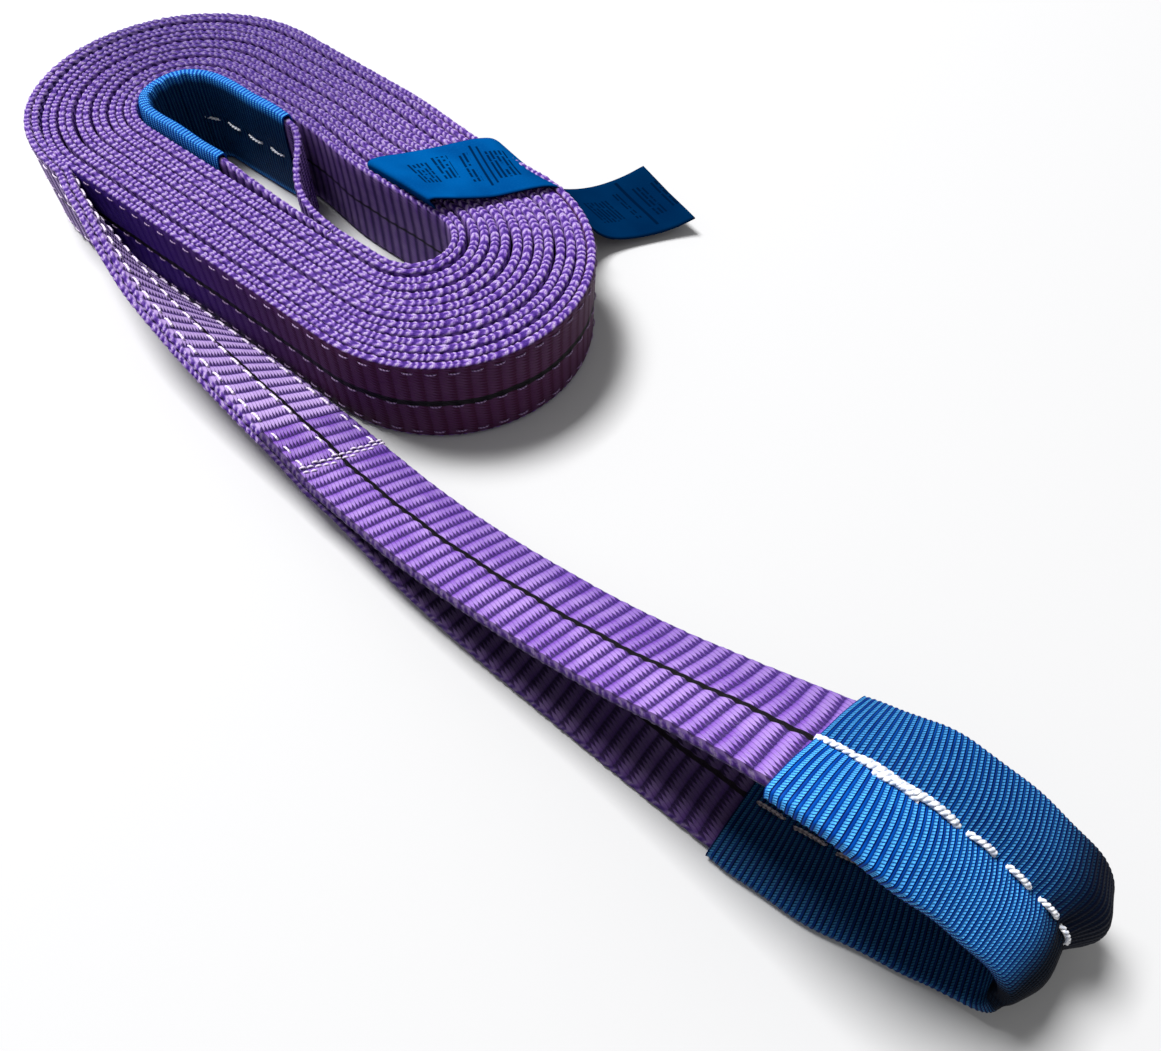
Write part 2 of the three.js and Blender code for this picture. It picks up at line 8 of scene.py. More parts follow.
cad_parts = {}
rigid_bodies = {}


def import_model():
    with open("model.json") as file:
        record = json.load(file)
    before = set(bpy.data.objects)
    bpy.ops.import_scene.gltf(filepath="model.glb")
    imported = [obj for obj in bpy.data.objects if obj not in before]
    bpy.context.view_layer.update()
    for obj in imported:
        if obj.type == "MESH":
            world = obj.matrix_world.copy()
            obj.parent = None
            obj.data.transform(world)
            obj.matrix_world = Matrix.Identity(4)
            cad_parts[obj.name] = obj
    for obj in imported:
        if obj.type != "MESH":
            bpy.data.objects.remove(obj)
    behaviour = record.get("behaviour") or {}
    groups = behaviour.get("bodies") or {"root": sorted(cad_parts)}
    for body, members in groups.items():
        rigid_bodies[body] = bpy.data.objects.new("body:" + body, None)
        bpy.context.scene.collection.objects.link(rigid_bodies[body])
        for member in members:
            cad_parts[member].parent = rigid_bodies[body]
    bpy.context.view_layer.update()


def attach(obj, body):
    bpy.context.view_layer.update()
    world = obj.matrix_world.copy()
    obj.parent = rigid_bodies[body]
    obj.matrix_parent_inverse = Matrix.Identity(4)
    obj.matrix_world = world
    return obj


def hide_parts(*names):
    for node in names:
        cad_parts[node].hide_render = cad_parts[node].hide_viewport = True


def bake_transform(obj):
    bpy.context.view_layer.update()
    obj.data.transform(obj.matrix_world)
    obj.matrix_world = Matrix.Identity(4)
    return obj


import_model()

MM = 0.001
SHIFT = np.array([-92.888, -5.431, 0.0])
COARSE = 1.0
rng = np.random.default_rng(11)

for o in list(bpy.context.scene.objects):
    if o.type in ("LIGHT", "CAMERA"):
        bpy.data.objects.remove(o)


# ------------------------------------------------------------------ small maths helpers
def lerp_table(table, x):
    t = np.array(table, float)
    return np.interp(x, t[:, 0], t[:, 1])


def smooth(a, b, x):
    t = np.clip((np.asarray(x, float) - a) / (b - a), 0, 1)
    return t * t * (3 - 2 * t)


def unit(v):
    return v / np.maximum(np.linalg.norm(v, axis=-1, keepdims=True), 1e-12)


def blur(a, sigma):
    """Gaussian along the first axis, ends held."""
    r = max(1, int(sigma * 3))
    k = np.exp(-0.5 * (np.arange(-r, r + 1) / sigma) ** 2)
    k /= k.sum()
    head = 2 * a[:1] - a[1 : r + 1][::-1]
    tail = 2 * a[-1:] - a[-r - 1 : -1][::-1]
    p = np.concatenate([head, a, tail])
    return np.stack([np.convolve(p[:, i], k, mode="valid") for i in range(a.shape[1])], 1)


def arc_length(p):
    return np.concatenate([[0], np.cumsum(np.linalg.norm(np.diff(p, axis=0), axis=1))])


def catmull(rows, per=12):
    """Centripetal Catmull-Rom through rows of any width; the first three columns set the knots."""
    rows = np.asarray(rows, float)
    p = np.vstack([2 * rows[0] - rows[1], rows, 2 * rows[-1] - rows[-2]])
    d = np.maximum(np.linalg.norm(np.diff(p[:, :3], axis=0), axis=1), 1e-6) ** 0.5
    k = np.concatenate([[0], np.cumsum(d)])
    out = []
    for i in range(1, len(p) - 2):
        t = np.linspace(k[i], k[i + 1], per, endpoint=False)[:, None]
        a1 = (k[i] - t) / (k[i] - k[i - 1]) * p[i - 1] + (t - k[i - 1]) / (k[i] - k[i - 1]) * p[i]
        a2 = (k[i + 1] - t) / (k[i + 1] - k[i]) * p[i] + (t - k[i]) / (k[i + 1] - k[i]) * p[i + 1]
        a3 = (k[i + 2] - t) / (k[i + 2] - k[i + 1]) * p[i + 1] + (t - k[i + 1]) / (k[i + 2] - k[i + 1]) * p[i + 2]
        b1 = (k[i + 1] - t) / (k[i + 1] - k[i - 1]) * a1 + (t - k[i - 1]) / (k[i + 1] - k[i - 1]) * a2
        b2 = (k[i + 2] - t) / (k[i + 2] - k[i]) * a2 + (t - k[i]) / (k[i + 2] - k[i]) * a3
        out.append((k[i + 1] - t) / (k[i + 1] - k[i]) * b1 + (t - k[i]) / (k[i + 1] - k[i]) * b2)
    out.append(rows[-1][None])
    return np.vstack(out)


class Path:
    """A strip's middle line c, direction t, across b and thickness direction n, against the running length s."""

    def __init__(self, c, b, n=None, step=0.5, s0=0.0):
        s = arc_length(c)
        total = s[-1]
        m = max(3, int(round(total / (step * COARSE))) + 1)
        u = np.linspace(0, total, m)
        self.c = np.stack([np.interp(u, s, c[:, i]) for i in range(3)], 1)
        bb = np.stack([np.interp(u, s, b[:, i]) for i in range(3)], 1)
        self.t = unit(np.gradient(self.c, axis=0))
        self.b = unit(bb - self.t * np.sum(bb * self.t, 1, keepdims=True))
        if n is None:
            self.n = np.cross(self.t, self.b)
        else:
            nn = np.stack([np.interp(u, s, n[:, i]) for i in range(3)], 1)
            self.n = unit(nn - self.t * np.sum(nn * self.t, 1, keepdims=True))
        self.s = u + s0
        self.length = total

    def at(self, w, h):
        return self.c + self.b * np.asarray(w)[..., None] + self.n * np.asarray(h)[..., None]

    def cut(self, lo, hi):
        k = Path.__new__(Path)
        m = (self.s >= lo - 1e-6) & (self.s <= hi + 1e-6)
        for a in ("c", "t", "b", "n", "s"):
            setattr(k, a, getattr(self, a)[m])
        k.length = k.s[-1] - k.s[0]
        return k


# ------------------------------------------------------------------ mesh helpers
def make_object(name, verts, faces, uv=None, smooth_shade=True):
    me = bpy.data.meshes.new(name)
    co = (np.asarray(verts, float) + SHIFT) * MM
    faces = np.asarray(faces, np.int64)
    nv, nf, k = len(co), len(faces), faces.shape[1]
    me.vertices.add(nv)
    me.vertices.foreach_set("co", co.astype(np.float32).ravel())
    me.loops.add(nf * k)
    me.loops.foreach_set("vertex_index", faces.astype(np.int32).ravel())
    me.polygons.add(nf)
    me.polygons.foreach_set("loop_start", (np.arange(nf) * k).astype(np.int32))
    me.polygons.foreach_set("loop_total", np.full(nf, k, np.int32))
    if uv is not None:
        layer = me.uv_layers.new(name="UVMap")
        layer.data.foreach_set("uv", np.asarray(uv, np.float32).reshape(-1, 2).ravel())
    me.update(calc_edges=True)
    me.validate()
    me.polygons.foreach_set("use_smooth", np.full(len(me.polygons), smooth_shade, bool))
    ob = bpy.data.objects.new(name, me)
    bpy.context.scene.collection.objects.link(ob)
    return ob


def ring_solid(name, P, s, p, ptot):
    """A closed tube through the rings P[i, j]; s and p give its UVs in millimetres. Both ends are closed."""
    n, k, _ = P.shape
    i = np.arange(n - 1)[:, None]
    j = np.arange(k)[None, :]
    j1 = (j + 1) % k
    a, b, c, d = i * k + j, i * k + j1, (i + 1) * k + j1, (i + 1) * k + j
    faces = np.stack(np.broadcast_arrays(a, b, c, d), -1).reshape(-1, 4)
    pj = np.broadcast_to(p[None, :], (n - 1, k))
    pj1 = np.broadcast_to(np.concatenate([p[1:], [ptot]])[None, :], (n - 1, k))
    si = np.broadcast_to(s[:-1, None], (n - 1, k))
    si1 = np.broadcast_to(s[1:, None], (n - 1, k))
    uv = np.stack([np.stack([si, pj], -1), np.stack([si, pj1], -1), np.stack([si1, pj1], -1), np.stack([si1, pj], -1)], 2)
    uv = uv.reshape(-1, 4, 2)
    verts = P.reshape(-1, 3)
    # end caps as a fan of quads folded about a middle point
    base = len(verts)
    verts = np.vstack([verts, P[0].mean(0), P[-1].mean(0)])
    jj = np.arange(0, k - 1, 2)
    capA = np.stack([np.full(len(jj), base), (jj + 2) % k, jj + 1, jj], 1)
    off = (n - 1) * k
    capB = np.stack([np.full(len(jj), base + 1), off + jj, off + jj + 1, off + (jj + 2) % k], 1)
    faces = np.vstack([faces, capA, capB])
    cu = np.zeros((len(capA), 4, 2))
    cu[:, :, 0] = s[0]
    cu[:, :, 1] = 29.5
    cv = cu.copy()
    cv[:, :, 0] = s[-1]
    uv = np.concatenate([uv, cu, cv])
    ob = make_object(name, verts, faces, uv)
    flat = np.ones(len(ob.data.polygons), bool)
    flat[-len(capA) - len(capB):] = False
    ob.data.polygons.foreach_set("use_smooth", flat)
    return ob


def tube_along(centre, radius, k=6, squash_n=None, flat=1.0):
    """Rings of a round section along a line (both as arrays)."""
    t = unit(np.gradient(centre, axis=0))
    up = np.array([0.0, 0.0, 1.0]) if squash_n is None else squash_n
    up = np.broadcast_to(up, centre.shape)
    a = unit(np.cross(t, up))
    b = np.cross(a, t)
    th = np.linspace(0, 2 * np.pi, k, endpoint=False)
    r = np.broadcast_to(np.asarray(radius, float), (len(centre),))
    return centre[:, None] + r[:, None, None] * (a[:, None] * np.cos(th)[None, :, None] + flat * b[:, None] * np.sin(th)[None, :, None])


class Bag:
    """Gathers many small closed tubes into one mesh."""

    def __init__(self):
        self.v, self.f, self.uv, self.count = [], [], [], 0

    def add(self, P, s0=0.0):
        n, k, _ = P.shape
        ln = arc_length(P.mean(1))
        i = np.arange(n - 1)[:, None]
        j = np.arange(k)[None, :]
        j1 = (j + 1) % k
        a, b, c, d = i * k + j, i * k + j1, (i + 1) * k + j1, (i + 1) * k + j
        self.f.append(np.stack(np.broadcast_arrays(a, b, c, d), -1).reshape(-1, 4) + self.count)
        si = np.broadcast_to(ln[:-1, None], (n - 1, k)) + s0
        si1 = np.broadcast_to(ln[1:, None], (n - 1, k)) + s0
        pj = np.broadcast_to(j / k, (n - 1, k))
        pj1 = np.broadcast_to((j + 1) / k, (n - 1, k))
        self.uv.append(
            np.stack([np.stack([si, pj], -1), np.stack([si, pj1], -1), np.stack([si1, pj1], -1), np.stack([si1, pj], -1)], 2).reshape(-1, 4, 2)
        )
        base = self.count
        jj = np.arange(0, k - 1, 2)
        mid = base + n * k
        self.f.append(np.stack([np.full(len(jj), mid), base + (jj + 2) % k, base + jj + 1, base + jj], 1))
        off = base + (n - 1) * k
        self.f.append(np.stack([np.full(len(jj), mid + 1), off + jj, off + jj + 1, off + (jj + 2) % k], 1))
        self.uv.append(np.zeros((2 * len(jj), 4, 2)))
        self.v.append(np.vstack([P.reshape(-1, 3), P[0].mean(0), P[-1].mean(0)]))
        self.count += n * k + 2

    def make(self, name):
        return make_object(name, np.vstack(self.v), np.vstack(self.f), np.concatenate(self.uv))


# ------------------------------------------------------------------ the path of the web
COIL_START, COIL_END = 0.0536, 6.8
PLY_OFF = 1.2
SHARE = 0.35


def near_y(n):
    return lerp_table([[0, -16], [0.25, -16.6], [0.75, -20.19], [1, -21.4], [6, -45.6], [7, -50.45]], n)


def coil_point(n):
    k = np.floor(n)
    q = (n - k) * 4
    quarter = int(min(3, math.floor(q)))
    u = q - quarter
    yn = float(near_y(n))
    yf = 12.1 + 5.82 * (n - 0.5)
    draw = 3.8 * (n - 0.5) / 6
    bul = 4.0 * (1 - (n - 0.5) / 6.4)
    yl = yf + bul
    yr = yf - draw
    xr = 64.6 + 6.66 * (n - 0.25)
    xl = -(71.9 + 5.1 * (n - 0.75))

    def far(x):
        return yr + draw * float(smooth(42, -2, x)) + bul * float(smooth(16, -18, x))

    bR, mR = (yr - yn) / 2, (yr + yn) / 2
    cR = xr - bR
    bL, mL = (yl - yn) / 2, (yl + yn) / 2
    cL = xl + bL
    s = SHARE
    if quarter == 0:
        if u < s:
            return cR * u / s, yn
        a = (u - s) / (1 - s) * math.pi / 2
        return cR + bR * math.sin(a), mR - bR * math.cos(a)
    if quarter == 1:
        if u > 1 - s:
            x = cR * (1 - (u - (1 - s)) / s)
            return x, far(x)
        a = u / (1 - s) * math.pi / 2
        return cR + bR * math.cos(a), mR + bR * math.sin(a)
    if quarter == 2:
        if u < s:
            x = cL * u / s
            return x, far(x)
        a = (u - s) / (1 - s) * math.pi / 2
        return cL - bL * math.sin(a), mL + bL * math.cos(a)
    if u > 1 - s:
        return cL * (1 - (u - (1 - s)) / s), yn
    a = u / (1 - s) * math.pi / 2
    return cL - bL * math.cos(a), mL - bL * math.sin(a)


ARC_END = 6.75 + 0.25 * (1 - SHARE)
JOIN_N = 6.69  # the coil's own pieces end here; the lead's pieces start here
ns = np.arange(COIL_START, ARC_END, 0.0006)
xy = np.array([coil_point(n) for n in ns])
# the last turn stands a little off the others at the left end; each turn wavers slightly
tan = unit(np.gradient(xy, axis=0))
outward = np.column_stack([tan[:, 1], -tan[:, 0]])
turn_k = np.mod(ns, 1.0)
left = smooth(0.45, 0.65, turn_k) * (1 - smooth(0.80, 1.0, turn_k))
stand = np.where(ns < 6.45, 1.7 * left * (ns / 6.5) ** 2, 0.0)
stand = stand + 2.4 * smooth(6.45, 6.72, ns) * (1 - smooth(6.82, 6.905, ns))
waver = 0.16 * np.sin(ns * 9.7) + 0.12 * np.sin(ns * 23.3 + 1.1)
xy = xy + outward * (stand + waver * smooth(0.06, 0.5, ns) * (1 - smooth(6.6, 6.8, ns)))[:, None]
coil_c = np.column_stack([xy, np.full(len(xy), 15.0)])

# the lead: lower edge on the ground, leaning from upright to almost flat
def turn_room(s):
    """0 where the turns lie tight, 1 at the right end where they stand apart."""
    n = np.interp(s, s_all[: len(ns)], ns)
    k = np.mod(n, 1.0)
    right = smooth(0.02, 0.20, k) * (1 - smooth(0.34, 0.56, k))
    return right * smooth(0.5, 1.0, n) * (1 - smooth(6.3, 6.6, n))


LEAD = np.array([
    [-44, -50.5, 83], [-34, -50.6, 77], [-24, -50.75, 70], [-12, -50.8, 62], [0, -50.8, 54], [13, -50.7, 47.5],
    [24, -50.5, 42], [36, -50.4, 37], [48, -50.5, 32.5], [60, -50.8, 29], [72, -51.3, 25.5], [84, -52.1, 21.5]], float)
rr = np.radians(LEAD[:, 2])
lead_b = np.column_stack([np.zeros(len(LEAD)), np.cos(rr), -np.sin(rr)])
lead_low = np.column_stack([LEAD[:, 0], LEAD[:, 1], 2.25 * np.cos(rr) + 0.1])
lead_rows = np.column_stack([lead_low - 15 * lead_b, lead_b])
arc_end = np.concatenate([coil_c[-1], [0, 0, -1.0]])
lead_dense = catmull(np.vstack([arc_end, lead_rows]), 14)[1:]
all_c = np.vstack([coil_c, lead_dense[:, :3]])
all_b = np.vstack([np.tile([0, 0, -1.0], (len(coil_c), 1)), lead_dense[:, 3:]])
# even steps, then rounded so that the straights run smoothly into the ends
s_all = arc_length(all_c)
u_all = np.arange(0, s_all[-1], 0.5)
even_c = np.stack([np.interp(u_all, s_all, all_c[:, i]) for i in range(3)], 1)
even_b = np.stack([np.interp(u_all, s_all, all_b[:, i]) for i in range(3)], 1)
keep_ends = np.minimum(smooth(0, 12, u_all), smooth(0, 12, u_all[-1] - u_all))[:, None]
even_c = even_c * (1 - keep_ends) + blur(even_c, 6.0) * keep_ends
body = Path(even_c, even_b, step=0.5)  # n points to the inside of the coil, and up on the lead
S_JOIN = float(body.s[np.argmin(np.abs(body.s - np.interp(JOIN_N, ns, s_all[: len(ns)])))])
S_LEAD = float(np.interp(COIL_END, ns, s_all[: len(ns)]))
S_CROTCH = body.s[-1]

# ------------------------------------------------------------------ the outer eye
EYE = np.array([
    [96, -66.9, 9.95, 0.02, 0.937, -0.372], [106, -67.7, 11.0, 0.02, 0.94, -0.38], [119.5, -68.8, 13.2, 0.03, 0.944, -0.375],
    [132, -69.4, 15.5, 0.04, 0.945, -0.37], [144, -69.7, 17.9, 0.05, 0.946, -0.365], [155, -69.8, 20.3, 0.06, 0.947, -0.36],
    [165, -69.9, 22.7, 0.08, 0.947, -0.355], [174, -70.0, 25.5, 0.1, 0.947, -0.35], [182, -70.2, 28.6, 0.11, 0.947, -0.345],
    [190, -70.4, 32.1, 0.12, 0.947, -0.345], [198, -70.5, 36.0, 0.13, 0.947, -0.345], [206, -70.7, 40.0, 0.14, 0.947, -0.34],
    [214, -70.9, 43.9, 0.14, 0.948, -0.32], [222, -70.9, 47.1, 0.13, 0.952, -0.29], [229, -70.7, 49.2, 0.11, 0.957, -0.26],
    [236, -70.2, 50.1, 0.08, 0.965, -0.22], [242, -69.5, 49.7, 0.05, 0.975, -0.16], [248, -68.5, 48.3, 0.02, 0.985, -0.09],
    [254, -67.3, 45.8, 0.0, 0.99, -0.02], [260, -66.0, 42.5, -0.02, 0.99, 0.05], [266, -64.8, 38.7, -0.02, 0.99, 0.09],
    [271.5, -63.8, 34.7, 0.0, 0.985, 0.12], [276.5, -62.9, 30.4, 0.05, 0.98, 0.12], [280.7, -62.2, 25.6, 0.12, 0.975, 0.1],
    [283.6, -61.8, 20.2, 0.2, 0.97, 0.05], [284.6, -61.6, 14.6, 0.24, 0.965, 0.0], [283.2, -61.7, 9.4, 0.2, 0.975, -0.02],
    [279.6, -62.2, 5.6, 0.08, 0.99, -0.01], [274.2, -63.1, 3.4, -0.05, 0.995, 0.0], [267, -64.4, 2.6, -0.12, 0.99, 0.0],
    [259, -66.2, 2.55, -0.16, 0.987, 0.0], [250, -68.0, 2.55, -0.14, 0.99, 0.0], [240, -69.5, 2.55, -0.1, 0.995, 0.0],
    [230, -70.4, 2.55, -0.05, 0.998, 0.0], [221, -70.8, 2.5, -0.02, 1, 0.0], [212, -70.8, 2.1, 0, 1, 0.0],
    [198, -70.5, 1.25, 0, 1, 0.0], [180, -70.2, 1.3, 0, 1, -0.01], [160, -69.9, 1.6, 0, 1, -0.03],
    [144, -69.6, 2.2, 0, 0.998, -0.07], [130, -69.2, 3.1, 0, 0.99, -0.13], [118, -68.7, 4.15, 0, 0.978, -0.2],
    [106, -67.8, 5.35, 0, 0.96, -0.28], [96, -67.0, 6.17, 0, 0.945, -0.335]], float)
# the eye's one ply starts inside the lead, in line with the lead's upper ply, and comes back in line with the lower one
k0 = int(np.argmin(np.abs(body.s - (S_CROTCH - 20.0))))
CUT_BACK = float(S_CROTCH - body.s[k0])
k1 = len(body.s) - 1
up_rows, low_rows = [], []
for k in np.linspace(k0, k1, 7).astype(int):
    up_rows.append(np.concatenate([body.c[k] + body.n[k] * PLY_OFF, body.b[k]]))
    low_rows.append(np.concatenate([body.c[k] - body.n[k] * PLY_OFF, body.b[k]]))
eye_rows = np.vstack([up_rows, EYE, low_rows[::-1]])
dense = catmull(eye_rows, 16)
eye = Path(dense[:, :3], dense[:, 3:], step=0.4, s0=S_CROTCH - CUT_BACK)
eye_fine = Path(dense[:, :3], dense[:, 3:], step=0.27, s0=S_CROTCH - CUT_BACK)


def eye_s(x, upper=True):
    """Running length on the eye at a place along X."""
    half = np.argmax(eye.c[:, 0])
    if upper:
        return float(np.interp(x, eye.c[:half, 0], eye.s[:half]))
    return float(np.interp(-x, -eye.c[half:, 0], eye.s[half:]))


# ------------------------------------------------------------------ the inner eye
plan = [[29.7, -14.82 - 2.35, 0], [20, -17.1, 0], [8, -16.9, 0.2], [-6, -16.4, 0.9], [-18, -15.8, 1.35], [-32, -15.6, 1.35]]
for i in range(15):
    a = -math.pi / 2 - math.pi * i / 14
    plan.append([-53.0 + 13.3 * math.cos(a), -2.3 + 13.3 * math.sin(a), 1.35])
plan += [[-36, 11.0, 1.35], [-19, 11.0, 1.35], [-14.5, 10.2, 1.2], [-9.5, 6.9, 1.0], [-4.5, 2.2, 0.8], [1, -3.2, 0.55],
         [7, -8.0, 0.3], [13, -11.2, 0.15], [19, -13.2, 0], [29.7, -14.82, 0]]
seam0 = body.c[0]
n0 = body.n[0]
plan = np.array(plan, float)
plan[0, :2] = seam0[:2] - n0[:2] * PLY_OFF
plan[-1, :2] = seam0[:2] + n0[:2] * PLY_OFF
inner_rows = np.column_stack([plan[:, 0], plan[:, 1], 15 + plan[:, 2], np.zeros(len(plan)), np.zeros(len(plan)), np.full(len(plan), 1.0)])
dense = catmull(inner_rows, 14)
inner = Path(dense[:, :3], dense[:, 3:], step=0.4)
inner_fine = Path(dense[:, :3], dense[:, 3:], step=0.3)
inner_half = np.argmin(inner.c[:, 0])


def inner_s(x, near=True):
    if near:
        return float(np.interp(-x, -inner.c[:inner_half, 0], inner.s[:inner_half]))
    return float(np.interp(x, inner.c[inner_half:, 0], inner.s[inner_half:]))


# ------------------------------------------------------------------ woven webbing
RIB = 4.1  # distance between ribs along the web
COLUMN = 1.15  # width of one warp column
FACE = 27.8  # width of a face between the rounded edges
EDGE = 3.46  # length round one edge
HALF_P = FACE + EDGE


def rib_height(s, w):
    """Height of the woven surface over its mean, in millimetres."""
    c = w / COLUMN
    skew = 0.22 * np.sin(w * 0.21 + 0.013 * s) + 0.10 * np.sin(0.037 * s + w * 0.4)
    r = (s + skew) / RIB
    wave = np.cos(2 * np.pi * r)
    second = np.cos(4 * np.pi * r)
    col = np.cos(2 * np.pi * c)
    return 0.17 * wave - 0.05 * second + 0.05 * col * (0.5 + 0.5 * wave)


def web_section(nf, ne, T):
    """Points round a ply: (w, h, normal w, normal h, p, edge share, side)."""
    r = T / 2
    rows = []
    ws = np.linspace(-15 + r, 15 - r, nf)
    for w in ws:
        rows.append((w, r, 0, 1, (w + 15 - r) / (30 - 2 * r) * FACE, 0, 1))
    for a in np.linspace(0, math.pi, ne + 2)[1:-1]:
        rows.append((15 - r + r * math.sin(a), r * math.cos(a), math.sin(a), math.cos(a), FACE + EDGE * a / math.pi, math.sin(a), 1 if a < math.pi / 2 else -1))
    for w in ws[::-1]:
        rows.append((w, -r, 0, -1, HALF_P + (15 - r - w) / (30 - 2 * r) * FACE, 0, -1))
    for a in np.linspace(0, math.pi, ne + 2)[1:-1]:
        rows.append((-15 + r - r * math.sin(a), -r * math.cos(a), -math.sin(a), -math.cos(a), HALF_P + FACE + EDGE * a / math.pi, math.sin(a), -1 if a < math.pi / 2 else 1))
    return np.array(rows, float)


LOOP = 2.45  # distance between the loops along each edge


def web_mesh(name, path, off=0.0, T=2.2, nf=14, ne=7, bump=1.0, seed=0, edge_amp=0.3, shift=0.0):
    """One ply of webbing. Chained loops stand out along both edges. off and T may change along the path."""
    sec = web_section(nf, ne, 2.2)
    g = np.random.default_rng(seed)
    ph = g.uniform(0, 6.28, 6)
    S = path.s[:, None] + shift
    off = np.broadcast_to(np.asarray(off, float), path.s.shape)[:, None]
    T = np.broadcast_to(np.asarray(T, float), path.s.shape)[:, None]
    bump = np.broadcast_to(np.asarray(bump, float), path.s.shape)[:, None]
    W, H, NW, NH, PP, E, SIDE = [sec[None, :, i] for i in range(7)]
    face = rib_height(S, W * SIDE) * bump * (1 - E)
    # chained loops: arms that meet in points along the edge
    a = np.mod(PP, HALF_P)
    a = np.clip((a - FACE) / EDGE, 0, 1)
    sp = S / LOOP + 0.35 * np.sin(S * 0.11) + 0.20 * np.sin(S * 0.73)
    one = np.cos(2 * np.pi * (sp + 0.95 * np.abs(a - 0.5)))
    vary = 0.75 + 0.35 * np.sin(S * 0.53 + ph[0]) * np.sin(S * 1.37 + ph[1])
    chain = one * vary + 0.25 * np.sin(S * 3.9 + 2.0 * a + ph[2]) - 0.35 * np.exp(-(((a - 0.5) / 0.10) ** 2))
    wander = np.sin(S * 0.023 + ph[3]) * 0.22 + np.sin(S * 0.071 + ph[4]) * 0.12 + np.sin(S * 0.9 + ph[5]) * 0.10 + np.sin(S * 2.3 + ph[0]) * 0.10
    edge = E * (edge_amp * chain - 0.10)
    out = face + edge
    w = W + NW * out + E * np.sign(W) * wander * 0.6
    h = H * (T / 2.2) + NH * out + off
    P = path.c[:, None] + path.b[:, None] * w[..., None] + path.n[:, None] * h[..., None]
    return ring_solid(name, P, path.s + shift, sec[:, 4], 2 * HALF_P)


# ------------------------------------------------------------------ node maths for materials
class X:
    def __init__(self, nt, s):
        self.nt, self.s = nt, s

    def op(self, kind, *a, clamp=False):
        n = self.nt.nodes.new("ShaderNodeMath")
        n.operation = kind
        n.use_clamp = clamp
        for i, v in enumerate((self,) + a):
            if isinstance(v, X):
                self.nt.links.new(v.s, n.inputs[i])
            else:
                n.inputs[i].default_value = float(v)
        return X(self.nt, n.outputs[0])

    def __add__(self, o):
        return self.op("ADD", o)

    __radd__ = __add__

    def __sub__(self, o):
        return self.op("SUBTRACT", o)

    def __rsub__(self, o):
        return self.op("MULTIPLY", -1.0).op("ADD", o)

    def __mul__(self, o):
        return self.op("MULTIPLY", o)

    __rmul__ = __mul__

    def __truediv__(self, o):
        return self.op("DIVIDE", o)

    def fract(self):
        return self.op("FRACT")

    def floor(self):
        return self.op("FLOOR")

    def abs(self):
        return self.op("ABSOLUTE")

    def sin(self):
        return self.op("SINE")

    def cos(self):
        return self.op("COSINE")

    def mod(self, o):
        return self.op("FLOORED_MODULO", o)

    def min(self, o):
        return self.op("MINIMUM", o)

    def max(self, o):
        return self.op("MAXIMUM", o)

    def power(self, o):
        return self.op("POWER", o)

    def ramp(self, a, b):
        """Smoothly from 0 at a to 1 at b."""
        n = self.nt.nodes.new("ShaderNodeMapRange")
        n.interpolation_type = "SMOOTHSTEP"
        flip = a > b
        lo, hi = (b, a) if flip else (a, b)
        n.inputs[1].default_value, n.inputs[2].default_value = lo, hi
        n.inputs[3].default_value, n.inputs[4].default_value = (1, 0) if flip else (0, 1)
        self.nt.links.new(self.s, n.inputs[0])
        return X(self.nt, n.outputs[0])


def srgb(h, gain=2.05):
    """Surface colour that shows as h under the key light."""
    c = np.array([int(h[i : i + 2], 16) / 255 for i in (0, 2, 4)])
    return tuple(np.where(c <= 0.04045, c / 12.92, ((c + 0.055) / 1.055) ** 2.4) / gain) + (1.0,)


class Mat:
    def __init__(self, name, rough=0.7, sheen=0.0, spec=0.3):
        self.m = bpy.data.materials.new(name)
        self.m.use_nodes = True
        self.nt = self.m.node_tree
        self.bsdf = self.nt.nodes["Principled BSDF"]
        self.bsdf.inputs["Roughness"].default_value = rough
        self.bsdf.inputs["Specular IOR Level"].default_value = spec
        if sheen:
            self.bsdf.inputs["Sheen Weight"].default_value = sheen
            self.bsdf.inputs["Sheen Roughness"].default_value = 0.4
        n = self.nt.nodes.new("ShaderNodeUVMap")
        n.uv_map = "UVMap"
        sep = self.nt.nodes.new("ShaderNodeSeparateXYZ")
        self.nt.links.new(n.outputs[0], sep.inputs[0])
        self.u, self.v = X(self.nt, sep.outputs[0]), X(self.nt, sep.outputs[1])

    def noise(self, a, b, scale, detail=2.0, rough=0.5, z=0.0):
        c = self.nt.nodes.new("ShaderNodeCombineXYZ")
        self.nt.links.new(a.s, c.inputs[0])
        self.nt.links.new(b.s, c.inputs[1])
        c.inputs[2].default_value = z
        n = self.nt.nodes.new("ShaderNodeTexNoise")
        n.inputs["Scale"].default_value = scale
        n.inputs["Detail"].default_value = detail
        n.inputs["Roughness"].default_value = rough
        self.nt.links.new(c.outputs[0], n.inputs["Vector"])
        return X(self.nt, n.outputs[0])

    def mix(self, fac, a, b):
        n = self.nt.nodes.new("ShaderNodeMix")
        n.data_type = "RGBA"
        self.nt.links.new(fac.s, n.inputs[0])
        for i, c in ((6, a), (7, b)):
            if isinstance(c, tuple):
                n.inputs[i].default_value = c
            else:
                self.nt.links.new(c, n.inputs[i])
        return n.outputs[2]

    def colour(self, c):
        self.nt.links.new(c, self.bsdf.inputs["Base Color"])

    def roughness(self, x):
        self.nt.links.new(x.s, self.bsdf.inputs["Roughness"])

    def bump(self, height, dist, strength=1.0):
        n = self.nt.nodes.new("ShaderNodeBump")
        n.inputs["Distance"].default_value = dist
        n.inputs["Strength"].default_value = strength
        self.nt.links.new(height.s, n.inputs["Height"])
        self.nt.links.new(n.outputs[0], self.bsdf.inputs["Normal"])


TAU = 2 * math.pi


